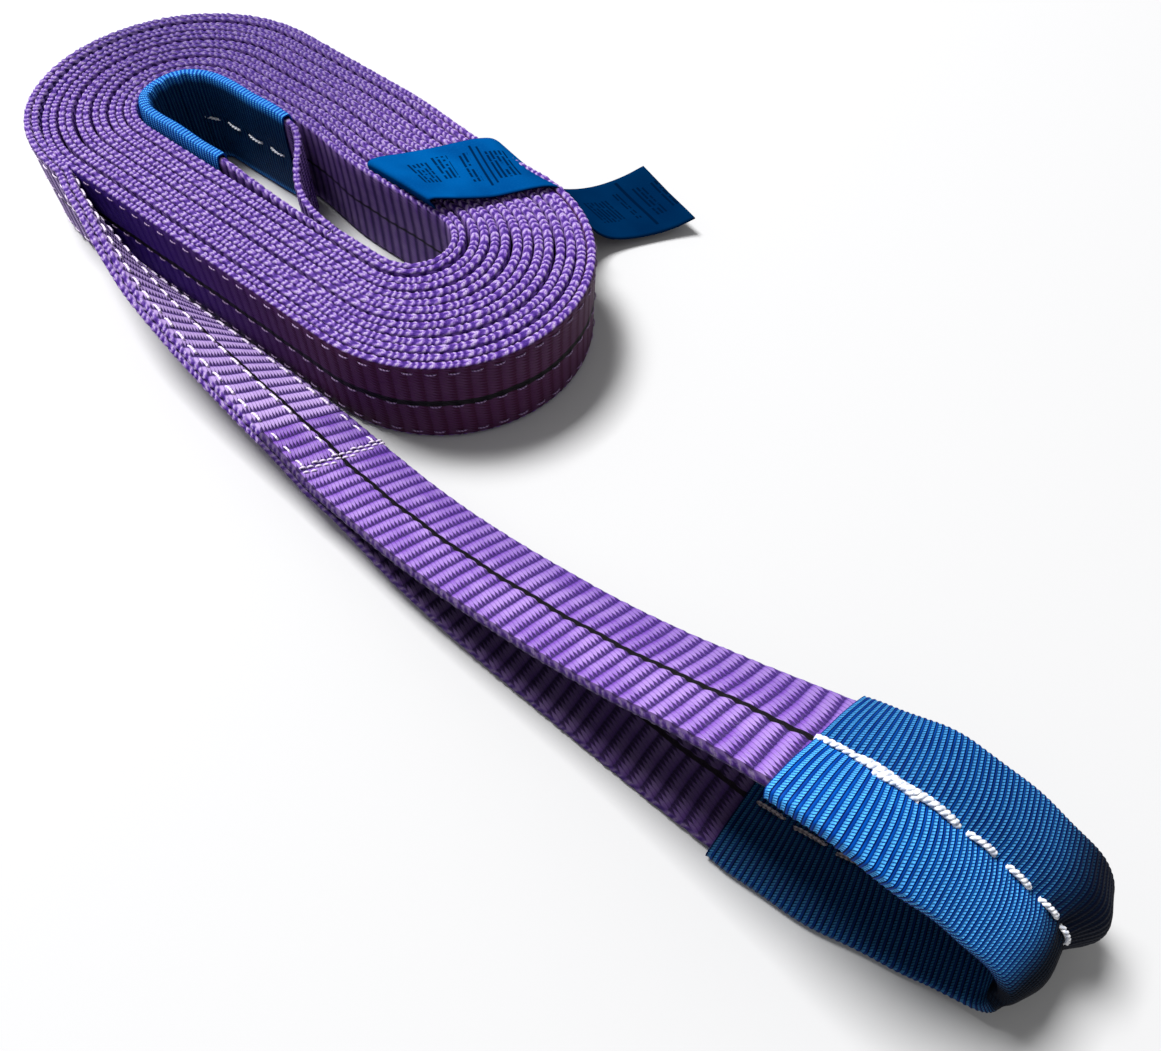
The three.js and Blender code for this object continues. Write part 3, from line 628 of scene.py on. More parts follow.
def webbing_material(name, inside_face_painted_shade=0.0, front_shade_span=None, rim_painted_shade=(0.8, 0.8), edge_cols=("46208A", "9A6ADA", "E6CEFF"), lift=0.0, mark_half=0.40, wall_shade_end=None, far_side_painted_shade=0.0):
    m = Mat(name, rough=0.62, sheen=0.0, spec=0.12)
    u, p = m.u, m.v
    q = p.mod(HALF_P)
    first = p.ramp(HALF_P - 0.2, HALF_P + 0.2)  # 0 on the face towards +n, 1 on the other
    w = q - FACE / 2
    edge = q.ramp(FACE - 0.1, FACE + 0.7) * q.ramp(HALF_P - 0.1, HALF_P - 0.9)
    skew = (w * 0.21 + u * 0.013).sin() * 0.22 + (u * 0.037 + w * 0.4).sin() * 0.10
    n1 = m.noise(u * 0.35, w * 1.3, 1.0, 3.0)
    n2 = m.noise(u * 0.06, w * 0.12, 1.0, 2.0, z=4.0)
    fib = m.noise(u * 0.8, w * 9.0, 1.0, 2.0, z=9.0)
    f = ((u + skew) / RIB + 0.5 + (n1 - 0.5) * 0.07).fract()  # 0 and 1 in the groove between two ribs, 0.5 on a rib
    d = (f - 0.5).abs()
    # columns of warp, leaning a little; pointed gaps between them run from the groove up one side of the rib
    cc = w / COLUMN + f * (0.30 * RIB) + (n1 - 0.5) * 0.25
    fc = (cc.fract() - 0.5).abs()  # 0 in the middle of a column, 0.5 between columns
    reach = f.ramp(0.40, 0.96) * 0.94 + f.ramp(0.08, 0.0) * 0.9
    teeth = (fc - (0.5 - reach.min(0.94) * 0.46)).ramp(-0.06, 0.10)
    fade = n2.ramp(0.35, 0.65)
    light = m.mix(fade, srgb("945CDA"), srgb("B98CF2"))
    # lift paints light onto the web: a lighter copy of the same webbing where it is more brightly lit
    if lift:
        light = m.mix(fade * 0.0 + lift, light, srgb("E4C8FF", 1.6))
    # painted shade between the warp columns, towards and in the grooves and in the pointed gaps; painted highlight on
    # the crests of the ribs and in flecks over the fibres
    c = m.mix(fc.ramp(0.32, 0.5) * 0.38, light, srgb("7A44C2"))
    c = m.mix(d.ramp(0.34, 0.10) * fib.ramp(0.30, 0.6) * 0.28, c, srgb("EAD6FF"))
    c = m.mix(f.ramp(0.72, 0.95) * 0.75, c, srgb("6236AC"))
    c = m.mix(f.ramp(0.20, 0.03) * 0.85, c, srgb("5A30A4"))
    c = m.mix(d.ramp(0.42, 0.49) * 0.50, c, srgb("421C84"))
    c = m.mix(teeth * 0.92, c, srgb("320D68"))
    c = m.mix(fib.ramp(0.45, 0.62) * 0.10, c, srgb("E2CEFF"))
    shade = None
    if front_shade_span:
        # painted shade on the outermost face of the coil, going from violet to plum along it, with darker flecks of
        # painted shade over the fibres; it fades out before the web leaves the coil
        shade = u.ramp(front_shade_span[0], front_shade_span[1]) * u.ramp(front_shade_span[3], front_shade_span[2]) * first
        front_shade_colour = m.mix(u.ramp(front_shade_span[4], front_shade_span[5]), srgb("5228C4"), srgb("58183E"))
        c = m.mix(shade * 0.90, c, front_shade_colour)
        c = m.mix(shade * fib.ramp(0.40, 0.62) * 0.30, c, srgb("1C0418"))
    if far_side_painted_shade:
        # painted shade on the far half of the face towards +n
        c = m.mix(w.ramp(-2.0, 14.0) * (1.0 - first) * far_side_painted_shade, c, srgb("4A2492"))
    if wall_shade_end:
        c = m.mix(u.ramp(wall_shade_end, wall_shade_end - 20.0) * (1.0 - first) * 0.32, c, srgb("1E0C1E"))  # painted shade on the wall round the middle
    # the black marker yarn wanders down the middle
    wob = (u * (TAU / RIB) + 1.0).sin() * 0.09 + (u * 0.31).sin() * 0.16
    mark = (w - wob).abs() - (d.ramp(0.15, 0.5) * 0.16 + mark_half)
    if shade:
        mark = mark - shade * 0.42
    c = m.mix(mark.ramp(0.10, -0.06), c, srgb("08020E"))
    # the edge: a chain of arms meeting in points, with a painted highlight on their crowns and painted shade in the
    # gaps between
    a = ((q - FACE) / EDGE)
    sp = u / LOOP + (u * 0.11).sin() * 0.35 + (u * 0.73).sin() * 0.20
    mid = (a - 0.5).abs()
    one = ((sp + mid * 0.95) * TAU).cos()
    en = m.noise(u * 1.1, q * 1.4, 1.0, 3.0, z=2.0)
    en2 = m.noise(u * 0.22, q * 0.3, 1.0, 2.0, z=7.0)
    e = one * 0.85 + (en - 0.5) * 2.4 + (en2 - 0.5) * 1.2 - mid.ramp(0.09, 0.0) * 0.5
    strand = m.noise(u * 2.6, q * 2.6 + u * 1.3, 1.0, 2.0, z=12.0)
    ec = m.mix(e.ramp(-0.75, 0.10), srgb(edge_cols[0]), srgb(edge_cols[1]))
    ec = m.mix(e.ramp(-0.05, 0.95), ec, srgb(edge_cols[2]))
    ec = m.mix(strand.ramp(0.56, 0.40) * 0.45, ec, srgb("5C36A8"))
    fine = ((u / 0.66 + mid * 2.6) * TAU).sin()
    ec = m.mix(fine.ramp(0.2, 1.0) * 0.30, ec, srgb("4C2896"))
    # painted shade where the edge meets the next ply or turn
    ec = m.mix((0.5 - a).ramp(0.22, 0.5) * rim_painted_shade[0], ec, srgb("240A54"))
    ec = m.mix((a - 0.5).ramp(0.22, 0.5) * rim_painted_shade[1], ec, srgb("240A54"))
    place = m.nt.nodes.new("ShaderNodeTexCoord")
    part = m.nt.nodes.new("ShaderNodeSeparateXYZ")
    m.nt.links.new(place.outputs["Object"], part.inputs[0])
    far_left_painted_shade = X(m.nt, part.outputs[1]).ramp(-0.036, 0.008) * X(m.nt, part.outputs[0]).ramp(-0.05, -0.14)  # painted shade on the coil's far left
    ec = m.mix(far_left_painted_shade * 0.50, ec, srgb("402C80"))
    c = m.mix(edge, c, ec)
    # painted shade on the face towards -n, the inside of the eye's loop
    if inside_face_painted_shade:
        c = m.mix(first * inside_face_painted_shade, c, srgb("1A0620"))
    m.colour(c)
    h = (1.0 - fc.ramp(0.30, 0.5)) * 0.4 - teeth * 0.8 + fib * 0.25
    h = h * (1.0 - edge) + edge * (e * 0.4)
    m.bump(h, 0.00022, 0.9)
    m.roughness((teeth * 0.2) + 0.58)
    return m.m


def sleeve_material(name, inner_painted_shade=(37.5, 70.5), far_half_painted_shade=False, tip=None, stripe=0.95):
    m = Mat(name, rough=0.55, sheen=0.0, spec=0.03)
    u, p = m.u, m.v
    x = (u / SLEEVE_RIB + 0.5).fract() - 0.5  # 0 in the middle of a row of dashes
    d = x.abs()
    row = d.ramp(0.28, 0.20)
    n1 = m.noise(u * 0.25, p * 0.2, 1.0, 2.0)
    n2 = m.noise(u * 3.0, p * 2.0, 1.0, 2.0, z=3.0)
    phase = (p / 0.66 + x * 1.5 + (u / SLEEVE_RIB + 0.5).floor() * 0.37 + (n1 - 0.5) * 0.5).fract()
    dash = (phase - 0.5).abs().ramp(0.46, 0.20)
    base = m.mix(n1.ramp(0.35, 0.65), srgb("0048B8"), srgb("0060D6"))
    base = m.mix(x.ramp(0.22, 0.29) * x.ramp(0.47, 0.36) * stripe, base, srgb("000530"))
    base = m.mix(x.ramp(-0.22, -0.29) * x.ramp(-0.40, -0.33) * stripe * 0.55, base, srgb("00146A"))
    groove = m.mix(dash, srgb("002C84"), srgb("58BAFF", 1.3))
    groove = m.mix((x + 0.15).abs().ramp(0.09, 0.03) * 0.6, groove, srgb("48A8F8", 1.5))
    groove = m.mix(n2.ramp(0.62, 0.40) * 0.30, groove, srgb("0060D0"))
    c = m.mix(row, base, groove)
    if tip:
        below = p.ramp(34.5, 33.0) * u.ramp(tip + 34.0, tip + 12.0)
        tip_shade_mask = u.ramp(tip - 27.0, tip - 12.0) * below.max(u.ramp(tip + 16.0, tip + 4.0) * p.ramp(40.5, 39.0))
        c = m.mix(tip_shade_mask * 0.965, c, srgb("010206"))  # painted shade round the tip
        c = m.mix(u.ramp(tip + 2.0, tip + 14.0) * p.ramp(33.5, 34.5) * p.ramp(38.5, 37.5) * 0.62, c, srgb("010A20"))  # painted shade on the lower leg's rim
        # painted shade on the far half as it nears the tip
        c = m.mix(u.ramp(tip - 34.0, tip - 16.0) * p.ramp(18.6, 17.4) * 0.35, c, srgb("01030A"))
    if far_half_painted_shade:
        c = m.mix(p.ramp(18.6, 17.4) * 0.40, c, srgb("020A2C"))  # painted shade on the half beyond the thread
    inside = p.ramp(inner_painted_shade[0] - 1.2, inner_painted_shade[0] + 1.2) * p.ramp(inner_painted_shade[1] + 1.2, inner_painted_shade[1] - 1.2)
    c = m.mix((inside * 0.80).max(p.ramp(500.0, 501.0) * 0.85), c, srgb("010614"))  # painted shade on the inside of the loop and of the tube
    m.colour(c)
    h = (1.0 - row) * 0.6 + row * dash * 0.5
    m.bump(h, 0.00022, 0.9)
    return m.m


def thread_material(name, light, dark, turns=1.4, gain=1.3):
    m = Mat(name, rough=0.6, sheen=0.2, spec=0.3)
    tw = ((m.u / turns + m.v) * TAU).sin()
    n = m.noise(m.u * 2.0, m.v * 3.0, 1.0, 3.0)
    t = tw * 0.5 + 0.5
    c = m.mix(t.ramp(0.05, 0.75), srgb(dark, gain), srgb(light, gain))
    c = m.mix(n.ramp(0.5, 0.75) * 0.3, c, srgb("FFFFFF", gain))
    m.colour(c)
    m.bump(tw * 0.5 + n * 0.4, 0.00012, 0.8)
    return m.m


def label_material(name, tag_length):
    m = Mat(name, rough=0.5, spec=0.0)
    u, p = m.u, m.v  # u runs along the strip, p across it from -14.5 to 14.5; the back face is shifted by 100
    k = p.ramp(50, 51)
    front = k
    q = p * (1.0 - k) + (100.0 - p) * k
    n1 = m.noise(u * 0.06, q * 0.05, 1.0, 2.0)
    fine = m.noise(u * 1.6, q * 1.6, 1.0, 3.0, z=5.0)
    weave = ((u * 5.2).sin() * (q * 5.2).sin())
    base = m.mix(n1.ramp(0.3, 0.7), srgb("004E96"), srgb("0060AE"))
    base = m.mix(fine.ramp(0.45, 0.75) * 0.10, base, srgb("2A8ADE"))

    def bar(u0, u1, q0, q1):
        a = u.ramp(u0 - 0.15, u0 + 0.15) * u.ramp(u1 + 0.15, u1 - 0.15)
        return a * q.ramp(q0 - 0.15, q0 + 0.15) * q.ramp(q1 + 0.15, q1 - 0.15)

    def block(u0, u1, q0, q1, pitch, gap, z):
        """Rows of broken marks, as plain generic print."""
        area = bar(u0, u1, q0, q1)
        line = (((u - u0) / pitch).fract() - 0.5).abs().ramp(0.30, 0.22)
        broken = m.noise(((u - u0) / pitch).floor() * 7.3, q * 0.55, 1.0, 1.0, z=z).ramp(0.42 + gap, 0.47 + gap)
        return area * line * broken

    ink = block(15, 21, -7, 5, 1.25, -0.02, 1.0)
    for args in ((22.5, 27.5, -9, 3.5, 1.45, -0.03, 2.0), (30.5, 34, -8.5, 6.5, 1.5, -0.02, 3.0), (39, 46, -7.5, 6.5, 1.5, -0.05, 7.0),
                 (86, 95, -6.5, 5.5, 1.3, -0.06, 4.0), (98, 100.5, -8.5, 6, 1.2, -0.02, 5.0), (105, 109, -8, 7, 1.5, -0.02, 6.0),
                 (111.5, 115, -7, 6, 1.4, -0.03, 8.0)):
        ink = ink.max(block(*args))
    ink = ink.max(bar(35.4, 36.2, -11.5, 9.5)).max(bar(37.5, 38.2, -10.5, 8.5)).max(bar(102.0, 103.1, -13, 11))
    c = m.mix(ink * front * 0.86, base, srgb("01183A"))
    # stitched border at the sewn end
    rim = (q.op("ABSOLUTE")).ramp(13.9, 14.4)
    c = m.mix(rim * 0.5, c, srgb("003A80"))
    c = m.mix((1.0 - k) * 0.8, c, srgb("011432"))  # the underside
    # painted shade along the part that slopes down behind the coil, deepest on the part lying on the floor
    c = m.mix(u.ramp(38.0, 58.0) * 0.40 * k, c, srgb("00224E"))
    c = m.mix(u.ramp(60.0, 82.0) * 0.72 * k, c, srgb("00142F"))
    m.colour(c)
    m.bump(weave * 0.15 + fine * 0.5, 0.00006, 0.5)
    return m.m


SLEEVE_RIB = 1.36

# running lengths that bound the painted shade on the coil's front face and its change from violet to plum
FACE_S = tuple(float(np.interp(k, ns, s_all[: len(ns)])) for k in (5.55, 5.8, 6.28, 6.56, 5.86, 6.10))
# painted shade at the seam between the two plies of one turn is lighter than in the gap between turns
mat_web = webbing_material("webbing_weave", rim_painted_shade=(0.45, 0.9), wall_shade_end=float(np.interp(1.1, ns, s_all[: len(ns)])))
mat_web_out = webbing_material("webbing_weave_outer_ply", front_shade_span=FACE_S, rim_painted_shade=(0.9, 0.45), mark_half=0.55)
# the lead is the same webbing, lightened through lift as painted light
mat_lead_web = webbing_material("webbing_weave_lead", lift=0.50, mark_half=0.55)
# painted shade on the inside of the loop and the far half of the top face; lighter edge colours and weaker rim shade
# are painted light on the eye's edges
mat_eye_web = webbing_material("webbing_weave_eye", inside_face_painted_shade=0.74, far_side_painted_shade=0.34, mark_half=0.60, rim_painted_shade=(0.2, 0.2), edge_cols=("5C2CB0", "A476F0", "DCC0FF"))
mat_inner_web = webbing_material("webbing_weave_inner_eye")
mat_sleeve = sleeve_material("sleeve_ribs", inner_painted_shade=(37.5, 70.5), far_half_painted_shade=True, tip=float(eye.s[np.argmax(eye.c[:, 0])]))
mat_sleeve_in = sleeve_material("sleeve_ribs_inner_eye", inner_painted_shade=(3.6, 32.4), stripe=0.30)
mat_white = thread_material("sleeve_thread_twist", "F6F7FC", "BFC5D4", 1.3, 1.15)
mat_lilac = thread_material("seam_thread_twist", "F4E8FA", "D6C2E8", 0.9, 1.35)
# a darker copy of the seam thread as painted shade for the stitches on the coil's shaded front
mat_seam_thread_painted_shade = thread_material("seam_thread_twist_coil_painted_shade", "B493C2", "5E3E78", 0.9, 1.6)
# a darker copy of the sleeve thread as painted shade for the stitches inside the eye
mat_thread_painted_shade = thread_material("sleeve_thread_twist_inside_painted_shade", "A89CA2", "5C5058", 1.3, 1.5)


def finish_piece(ob, mat, body_name=None, replaces=(), blend=None):
    ob.data.materials.append(mat)
    if blend:
        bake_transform(ob)
    else:
        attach(ob, body_name)
    if replaces:
        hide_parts(*replaces)
    return ob


def row_frame(p):
    return tuple((np.asarray(p, float) + SHIFT) * MM)


# ------------------------------------------------------------------ the plies of the coil and of the lead
def ply_off(s):
    n = np.interp(s, s_all[: len(ns)], ns)
    tight = smooth(0.06, 0.4, n) * (1 - smooth(6.2, 6.6, n))
    return PLY_OFF - 0.10 * tight + 0.42 * turn_room(s) + 0.05 * tight * np.sin(np.asarray(s) * 0.047)


def ply_thick(s):
    n = np.interp(s, s_all[: len(ns)], ns)
    tight = smooth(0.06, 0.4, n) * (1 - smooth(6.2, 6.6, n))
    return 2.2 - 0.10 * tight + 0.68 * turn_room(s)


coil_path = body.cut(0, S_JOIN)
lead_path = body.cut(S_JOIN, S_CROTCH - CUT_BACK)
for tag, off, nodes, seed in (("inner", PLY_OFF, "coil_inner_ply", 3), ("outer", -PLY_OFF, "coil_outer_ply", 8)):
    ob = web_mesh(f"web_coil_{tag}", coil_path, off=off / PLY_OFF * ply_off(coil_path.s), T=ply_thick(coil_path.s), nf=9, ne=7, seed=seed, edge_amp=0.34, bump=0.12, shift=0.0 if tag == "inner" else 1.35)
    finish_piece(ob, mat_web if tag == "inner" else mat_web_out, "coil", [nodes])
joint_a = body.at(0.0, 0.0)[np.searchsorted(body.s, S_LEAD - 12)]
joint_b = body.at(0.0, 0.0)[np.searchsorted(body.s, S_LEAD + 16)]
LEAD_BLEND = ("coil", "lead", row_frame(joint_a * [1, 1, 0] + [0, 0, 15]), row_frame(joint_b * [1, 1, 0] + [0, 0, 15]))
for tag, off, nodes, seed in (("upper", PLY_OFF, "lead_upper_ply", 3), ("lower", -PLY_OFF, "lead_lower_ply", 8)):
    ob = web_mesh(f"web_lead_{tag}", lead_path, off=off, T=2.2, nf=28, ne=7, seed=seed, edge_amp=0.30, bump=0.16 + 0.56 * smooth(S_JOIN, S_JOIN + 30, lead_path.s), shift=0.0 if tag == "upper" else 1.35)
    finish_piece(ob, mat_lead_web, None, [nodes], LEAD_BLEND)

# ------------------------------------------------------------------ the outer eye's webbing
crotch = body.c[-1]
EYE_BLEND = ("lead", "outer_eye", row_frame([78, -65, 8]), row_frame([106, -67.5, 8]))
ob = web_mesh("web_outer_eye", eye, off=0.0, T=2.2, nf=56, ne=7, seed=3, edge_amp=0.10, bump=0.62)
finish_piece(ob, mat_eye_web, None, ["outer_eye_webbing"], EYE_BLEND)


# ------------------------------------------------------------------ sleeves
def sleeve_mesh(name, path, half_w, half_t, wall, crease, puff, seed, bulge=None, pleats=None, slant=0.0, k_face=44):
    """A woven tube round the web: ribs across it, full edges, drawn in along the thread in its middle."""
    g = np.random.default_rng(seed)
    ph = g.uniform(0, 6.28, 8)
    th = np.linspace(0, TAU, 2 * k_face, endpoint=False)
    # a flattened round section
    cx, sx = np.cos(th), np.sin(th)
    ex = 0.35
    sw = np.sign(cx) * np.abs(cx) ** 0.62
    sh = np.sign(sx) * np.abs(sx) ** ex
    S = path.s[:, None]
    s0, s1 = path.s[0], path.s[-1]
    end = np.minimum(smooth(s0, s0 + 5, S), smooth(s1, s1 - 5, S))
    W = sw[None] * half_w
    centre = np.exp(-((W / 2.3) ** 2))
    lobes = np.exp(-(((np.abs(W) - 8.0) / 5.5) ** 2))
    rib = -0.12 * np.cos(TAU * (S / SLEEVE_RIB))
    soft = 0.25 * np.sin(S * 0.09 + W * 0.12 + ph[0]) + 0.15 * np.sin(S * 0.23 - W * 0.2 + ph[1])
    pucker = 0.3 * np.cos(TAU * S / 6.0 + ph[2]) * centre
    thick = half_t + (puff * lobes * (0.55 + 0.45 * end) - crease * centre * end) + soft * 0.4 * end + pucker * end
    wide = 1 + (0.02 * np.sin(S * 0.11 + ph[3]) + 0.012 * np.sin(S * 0.31 + ph[4])) * end
    if bulge is not None:
        thick = thick + bulge(S, W) * (sh[None] > 0)
    if pleats is not None:
        thick = thick + pleats(S, W) * (sh[None] > 0)
    hh = sh[None] * np.maximum(thick, half_t * 0.62) + np.sign(sh[None]) * rib * np.abs(sh[None])
    ww = W * wide + np.sign(cx)[None] * rib * (1 - np.abs(sh[None]) ** 2)
    lean = (S * 0 + W * slant) * (1 - smooth(s0, s0 + 45, S))  # the first mouth is not quite square
    outer = path.c[:, None] + path.b[:, None] * ww[..., None] + path.n[:, None] * hh[..., None] + path.t[:, None] * lean[..., None]
    hi = sh[None] * (np.maximum(thick, half_t * 0.62) - wall)
    wi = W * wide * (half_w - wall) / half_w
    inner_w = path.c[:, None] + path.b[:, None] * wi[..., None] + path.n[:, None] * hi[..., None] + path.t[:, None] * lean[..., None]
    n, k, _ = outer.shape
    per = 2 * 2 * half_w
    pp = np.concatenate([[0], np.cumsum(np.linalg.norm(np.diff(np.column_stack([sw * half_w, sh * half_t]), axis=0), axis=1))])
    ptot = pp[-1] + np.linalg.norm([sw[0] * half_w - sw[-1] * half_w, (sh[0] - sh[-1]) * half_t])
    pp, ptot = pp * 72 / ptot, 72.0
    # outside, then the inside with its faces turned round, joined at both mouths
    i = np.arange(n - 1)[:, None]
    j = np.arange(k)[None, :]
    j1 = (j + 1) % k
    o = n * k
    a, b, c, d = i * k + j, i * k + j1, (i + 1) * k + j1, (i + 1) * k + j
    quad = np.stack(np.broadcast_arrays(a, b, c, d), -1).reshape(-1, 4)
    quad_in = quad[:, ::-1] + o
    jj = np.arange(k)
    jj1 = (jj + 1) % k
    m0 = np.stack([jj1, jj, o + jj, o + jj1], 1)
    e = (n - 1) * k
    m1 = np.stack([e + jj, e + jj1, o + e + jj1, o + e + jj], 1)
    p0 = np.broadcast_to(pp[None], (n - 1, k))
    p1 = np.broadcast_to(np.concatenate([pp[1:], [ptot]])[None], (n - 1, k))
    u0 = np.broadcast_to(path.s[:-1, None], (n - 1, k))
    u1 = np.broadcast_to(path.s[1:, None], (n - 1, k))
    uv = np.stack([np.stack([u0, p0], -1), np.stack([u0, p1], -1), np.stack([u1, p1], -1), np.stack([u1, p0], -1)], 2).reshape(-1, 4, 2)
    uv_in = uv[:, ::-1] + np.array([0.0, 600.0])
    mouth = np.zeros((k, 4, 2))
    q0 = pp
    q1 = np.concatenate([pp[1:], [ptot]])
    mouth[:, 0, 1] = q1
    mouth[:, 1, 1] = q0
    mouth[:, 2, 1] = q0
    mouth[:, 3, 1] = q1
    mouth[:, :2, 0] = 0.9
    mouth[:, 2:, 0] = 0.5
    mouth2 = mouth[:, [1, 0, 3, 2]]
    return make_object(name, np.vstack([outer.reshape(-1, 3), inner_w.reshape(-1, 3)]), np.vstack([quad, quad_in, m0, m1]), np.concatenate([uv, uv_in, mouth, mouth2]))


sl0, sl1 = eye_s(226.5), eye_s(219.5, False)
outer_sleeve_path = eye_fine.cut(sl0, sl1)
tip_s = float(eye.s[np.argmax(eye.c[:, 0])])


def tip_bulge(S, W):
    """The far half of the sleeve stands out beyond the tip; the near half less."""
    far = np.exp(-(((W - 8.5) / 5.5) ** 2)) * np.exp(-(((S - tip_s + 3) / 11.0) ** 2)) * 2.6
    near = np.exp(-(((W + 8.5) / 5.5) ** 2)) * np.exp(-(((S - tip_s - 6) / 13.0) ** 2)) * 0.9
    low = -0.5 * smooth(tip_s + 12, tip_s + 24, S)
    return far + near + low


ob = sleeve_mesh("sleeve_outer_eye", outer_sleeve_path, 16.6, 2.35, 0.7, 0.9, 0.85, 5, bulge=tip_bulge, slant=0.11)
finish_piece(ob, mat_sleeve, "outer_eye", ["outer_eye_sleeve"])

in0, in1 = inner_s(-19.0), inner_s(-19.0, False)
inner_sleeve_path = inner_fine.cut(in0, in1)
u_mid = 0.5 * (in0 + in1)


def bend_pleats(S, W):
    """Folds where the tube is bent round the end of the loop."""
    return 0.85 * np.clip(np.cos(TAU * (S - u_mid) / 6.4 + 0.05 * W), -0.35, 1) * np.exp(-(((S - u_mid) / 15.0) ** 4))


ob = sleeve_mesh("sleeve_inner_eye", inner_sleeve_path, 16.3, 2.3, 0.6, 0.4, 0.12, 9, pleats=bend_pleats, k_face=36)
finish_piece(ob, mat_sleeve_in, "inner_eye", ["inner_eye_sleeve"])

# ------------------------------------------------------------------ the inner eye's webbing
ob = web_mesh("web_inner_eye", inner, off=0.0, T=2.2, nf=30, ne=6, seed=33, edge_amp=0.26)
INNER_BLEND = ("coil", "inner_eye", row_frame([30, 0, 15]), row_frame([-12, 0, 15]))
finish_piece(ob, mat_inner_web, None, ["inner_eye_webbing"], INNER_BLEND)


# ------------------------------------------------------------------ threads
def twisted(bag, line, radius, lift_n, turns=2.6, strands=2, k=6):
    """Strands wound round a line."""
    s = arc_length(line)
    m = max(6, int(s[-1] / (0.28 * COARSE)))
    u = np.linspace(0, s[-1], m)
    c = np.stack([np.interp(u, s, line[:, i]) for i in range(3)], 1)
    t = unit(np.gradient(c, axis=0))
    a = unit(np.cross(t, np.broadcast_to(lift_n, t.shape)))
    b = np.cross(a, t)
    r = np.interp(u, s, np.broadcast_to(radius, (len(line),)))
    for q in range(strands):
        ang = TAU * u / turns + TAU * q / strands
        off = (a * np.cos(ang)[:, None] + b * np.sin(ang)[:, None]) * (r * 0.5)[:, None]
        bag.add(tube_along(c + off, r * 0.62, k=k))


def stitch_line(path, s_from, s_to, w0, w1, lift, base, side=1.0, m=9, dip=0.35):
    """A stitch that comes up out of the cloth, lies on it and dips back in; lift is its height over base."""
    u = np.linspace(0, 1, m)
    s = s_from + (s_to - s_from) * u
    c = np.stack([np.interp(s, path.s, path.c[:, i]) for i in range(3)], 1)
    b = np.stack([np.interp(s, path.s, path.b[:, i]) for i in range(3)], 1)
    n = np.stack([np.interp(s, path.s, path.n[:, i]) for i in range(3)], 1)
    prof = np.clip(np.sin(np.pi * u) ** 0.45, 0, 1)
    h = side * (base + lift * (prof * (1 + dip) - dip))
    w = w0 + (w1 - w0) * u
    return c + b * w[:, None] + n * h[:, None], n[m // 2] * side


# outer eye: thick double stitches on the upper leg, then single ones towards the tip
bag = Bag()
sT = eye_s(222.0)
pieces_s = [(2.0, 13.8, 0.66, -0.5, 0.2), (12.4, 24.5, 0.92, 0.4, -0.4), (15.5, 27.5, 0.85, -0.8, 0.7), (21.5, 33.0, 0.80, 0.5, 0.1),
            (35.2, 42.6, 0.66, 0.0, 0.2), (46.0, 53.2, 0.66, 0.0, -0.2), (56.8, 63.8, 0.62, -0.2, 0.1), (66.5, 73.5, 0.58, 0.0, 0.0)]
for a, b_, r, w0, w1 in pieces_s:
    line, nn = stitch_line(outer_sleeve_path, sT + a, sT + b_, w0, w1, 0.75, 1.75, 1.0)
    twisted(bag, line, r, nn)
ob = bag.make("thread_outer_eye")
finish_piece(ob, mat_white, "outer_eye", ["outer_eye_sleeve_thread"])
# the same thread inside the eye, in the darker copy that paints its shade
bag = Bag()
sB = eye_s(221.0, False)
for a, b_ in ((1.0, 8.5), (11.0, 19.0), (21.5, 29.0), (32.0, 39.5), (42.5, 50.0)):
    line, nn = stitch_line(outer_sleeve_path, sB - b_, sB - a, 0.2, -0.2, 0.7, 1.75, -1.0)
    twisted(bag, line, 0.5, nn)
for a, b_ in ((4, 12), (16, 24), (28, 36), (40, 48)):
    line, nn = stitch_line(outer_sleeve_path, sT + a, sT + b_, 0.0, 0.0, 0.7, 1.75, -1.0)
    twisted(bag, line, 0.5, nn)
ob = bag.make("thread_outer_eye_inside")
finish_piece(ob, mat_thread_painted_shade, "outer_eye")
# inner eye: stitches on the inside of the loop
bag = Bag()
span = inner_sleeve_path.length
k = 0
pos = 0.60 * span
inside = 1.0 if np.dot(inner_sleeve_path.n[len(inner_sleeve_path.s) // 2], [1, 0, 0]) > 0 else -1.0
while pos + 7 < span:
    line, nn = stitch_line(inner_sleeve_path, in0 + pos, in0 + pos + 6.5, 0.3, -0.3, 0.6, 1.75, inside)
    twisted(bag, line, 0.45, nn)
    pos += 11.0
ob = bag.make("thread_inner_eye")
finish_piece(ob, mat_white, "inner_eye", ["inner_eye_sleeve_thread"])

# ------------------------------------------------------------------ seams of the body
OUT = 2.3


def seam_row(bag, path, s0, s1, w, side, pitch=6.0, length=2.9, r=0.25, jitter=0.12, lift=0.34, dip=0.35):
    g = np.random.default_rng(int(abs(w) * 10) + 5)
    s = s0
    while s + length < s1:
        dw = g.normal(0, jitter)
        face = float(ply_off(s)) + float(ply_thick(s)) / 2
        line, nn = stitch_line(path, s, s + length, w + dw, w + dw * 0.4, lift, face, side, m=9, dip=dip)
        bag.add(tube_along(line, r, k=6, squash_n=nn, flat=0.8))
        s += pitch


bag = Bag()
s_coil0 = float(np.interp(5.72, ns, s_all[: len(ns)]))
for w in (-12.2, 1.1, 12.2):
    seam_row(bag, coil_path, s_coil0, S_JOIN - 2, w, -1.0)
ob = bag.make("stitches_coil")
finish_piece(ob, mat_seam_thread_painted_shade, "coil", ["coil_seam_edge_a", "coil_seam_centre", "coil_seam_edge_b"])
bag = Bag()
for w in (-12.2, -1.4, 12.2):
    seam_row(bag, lead_path, S_LEAD + 40, S_CROTCH - CUT_BACK - 0.5, w, 1.0, length=3.6, r=0.46, lift=0.36, dip=0.0)
    seam_row(bag, lead_path, S_JOIN + 3, S_CROTCH - CUT_BACK - 0.5, w, -1.0)
ob = bag.make("stitches_lead")
finish_piece(ob, mat_lilac, None, ["lead_seam_edge_a", "lead_seam_centre", "lead_seam_edge_b"], LEAD_BLEND)
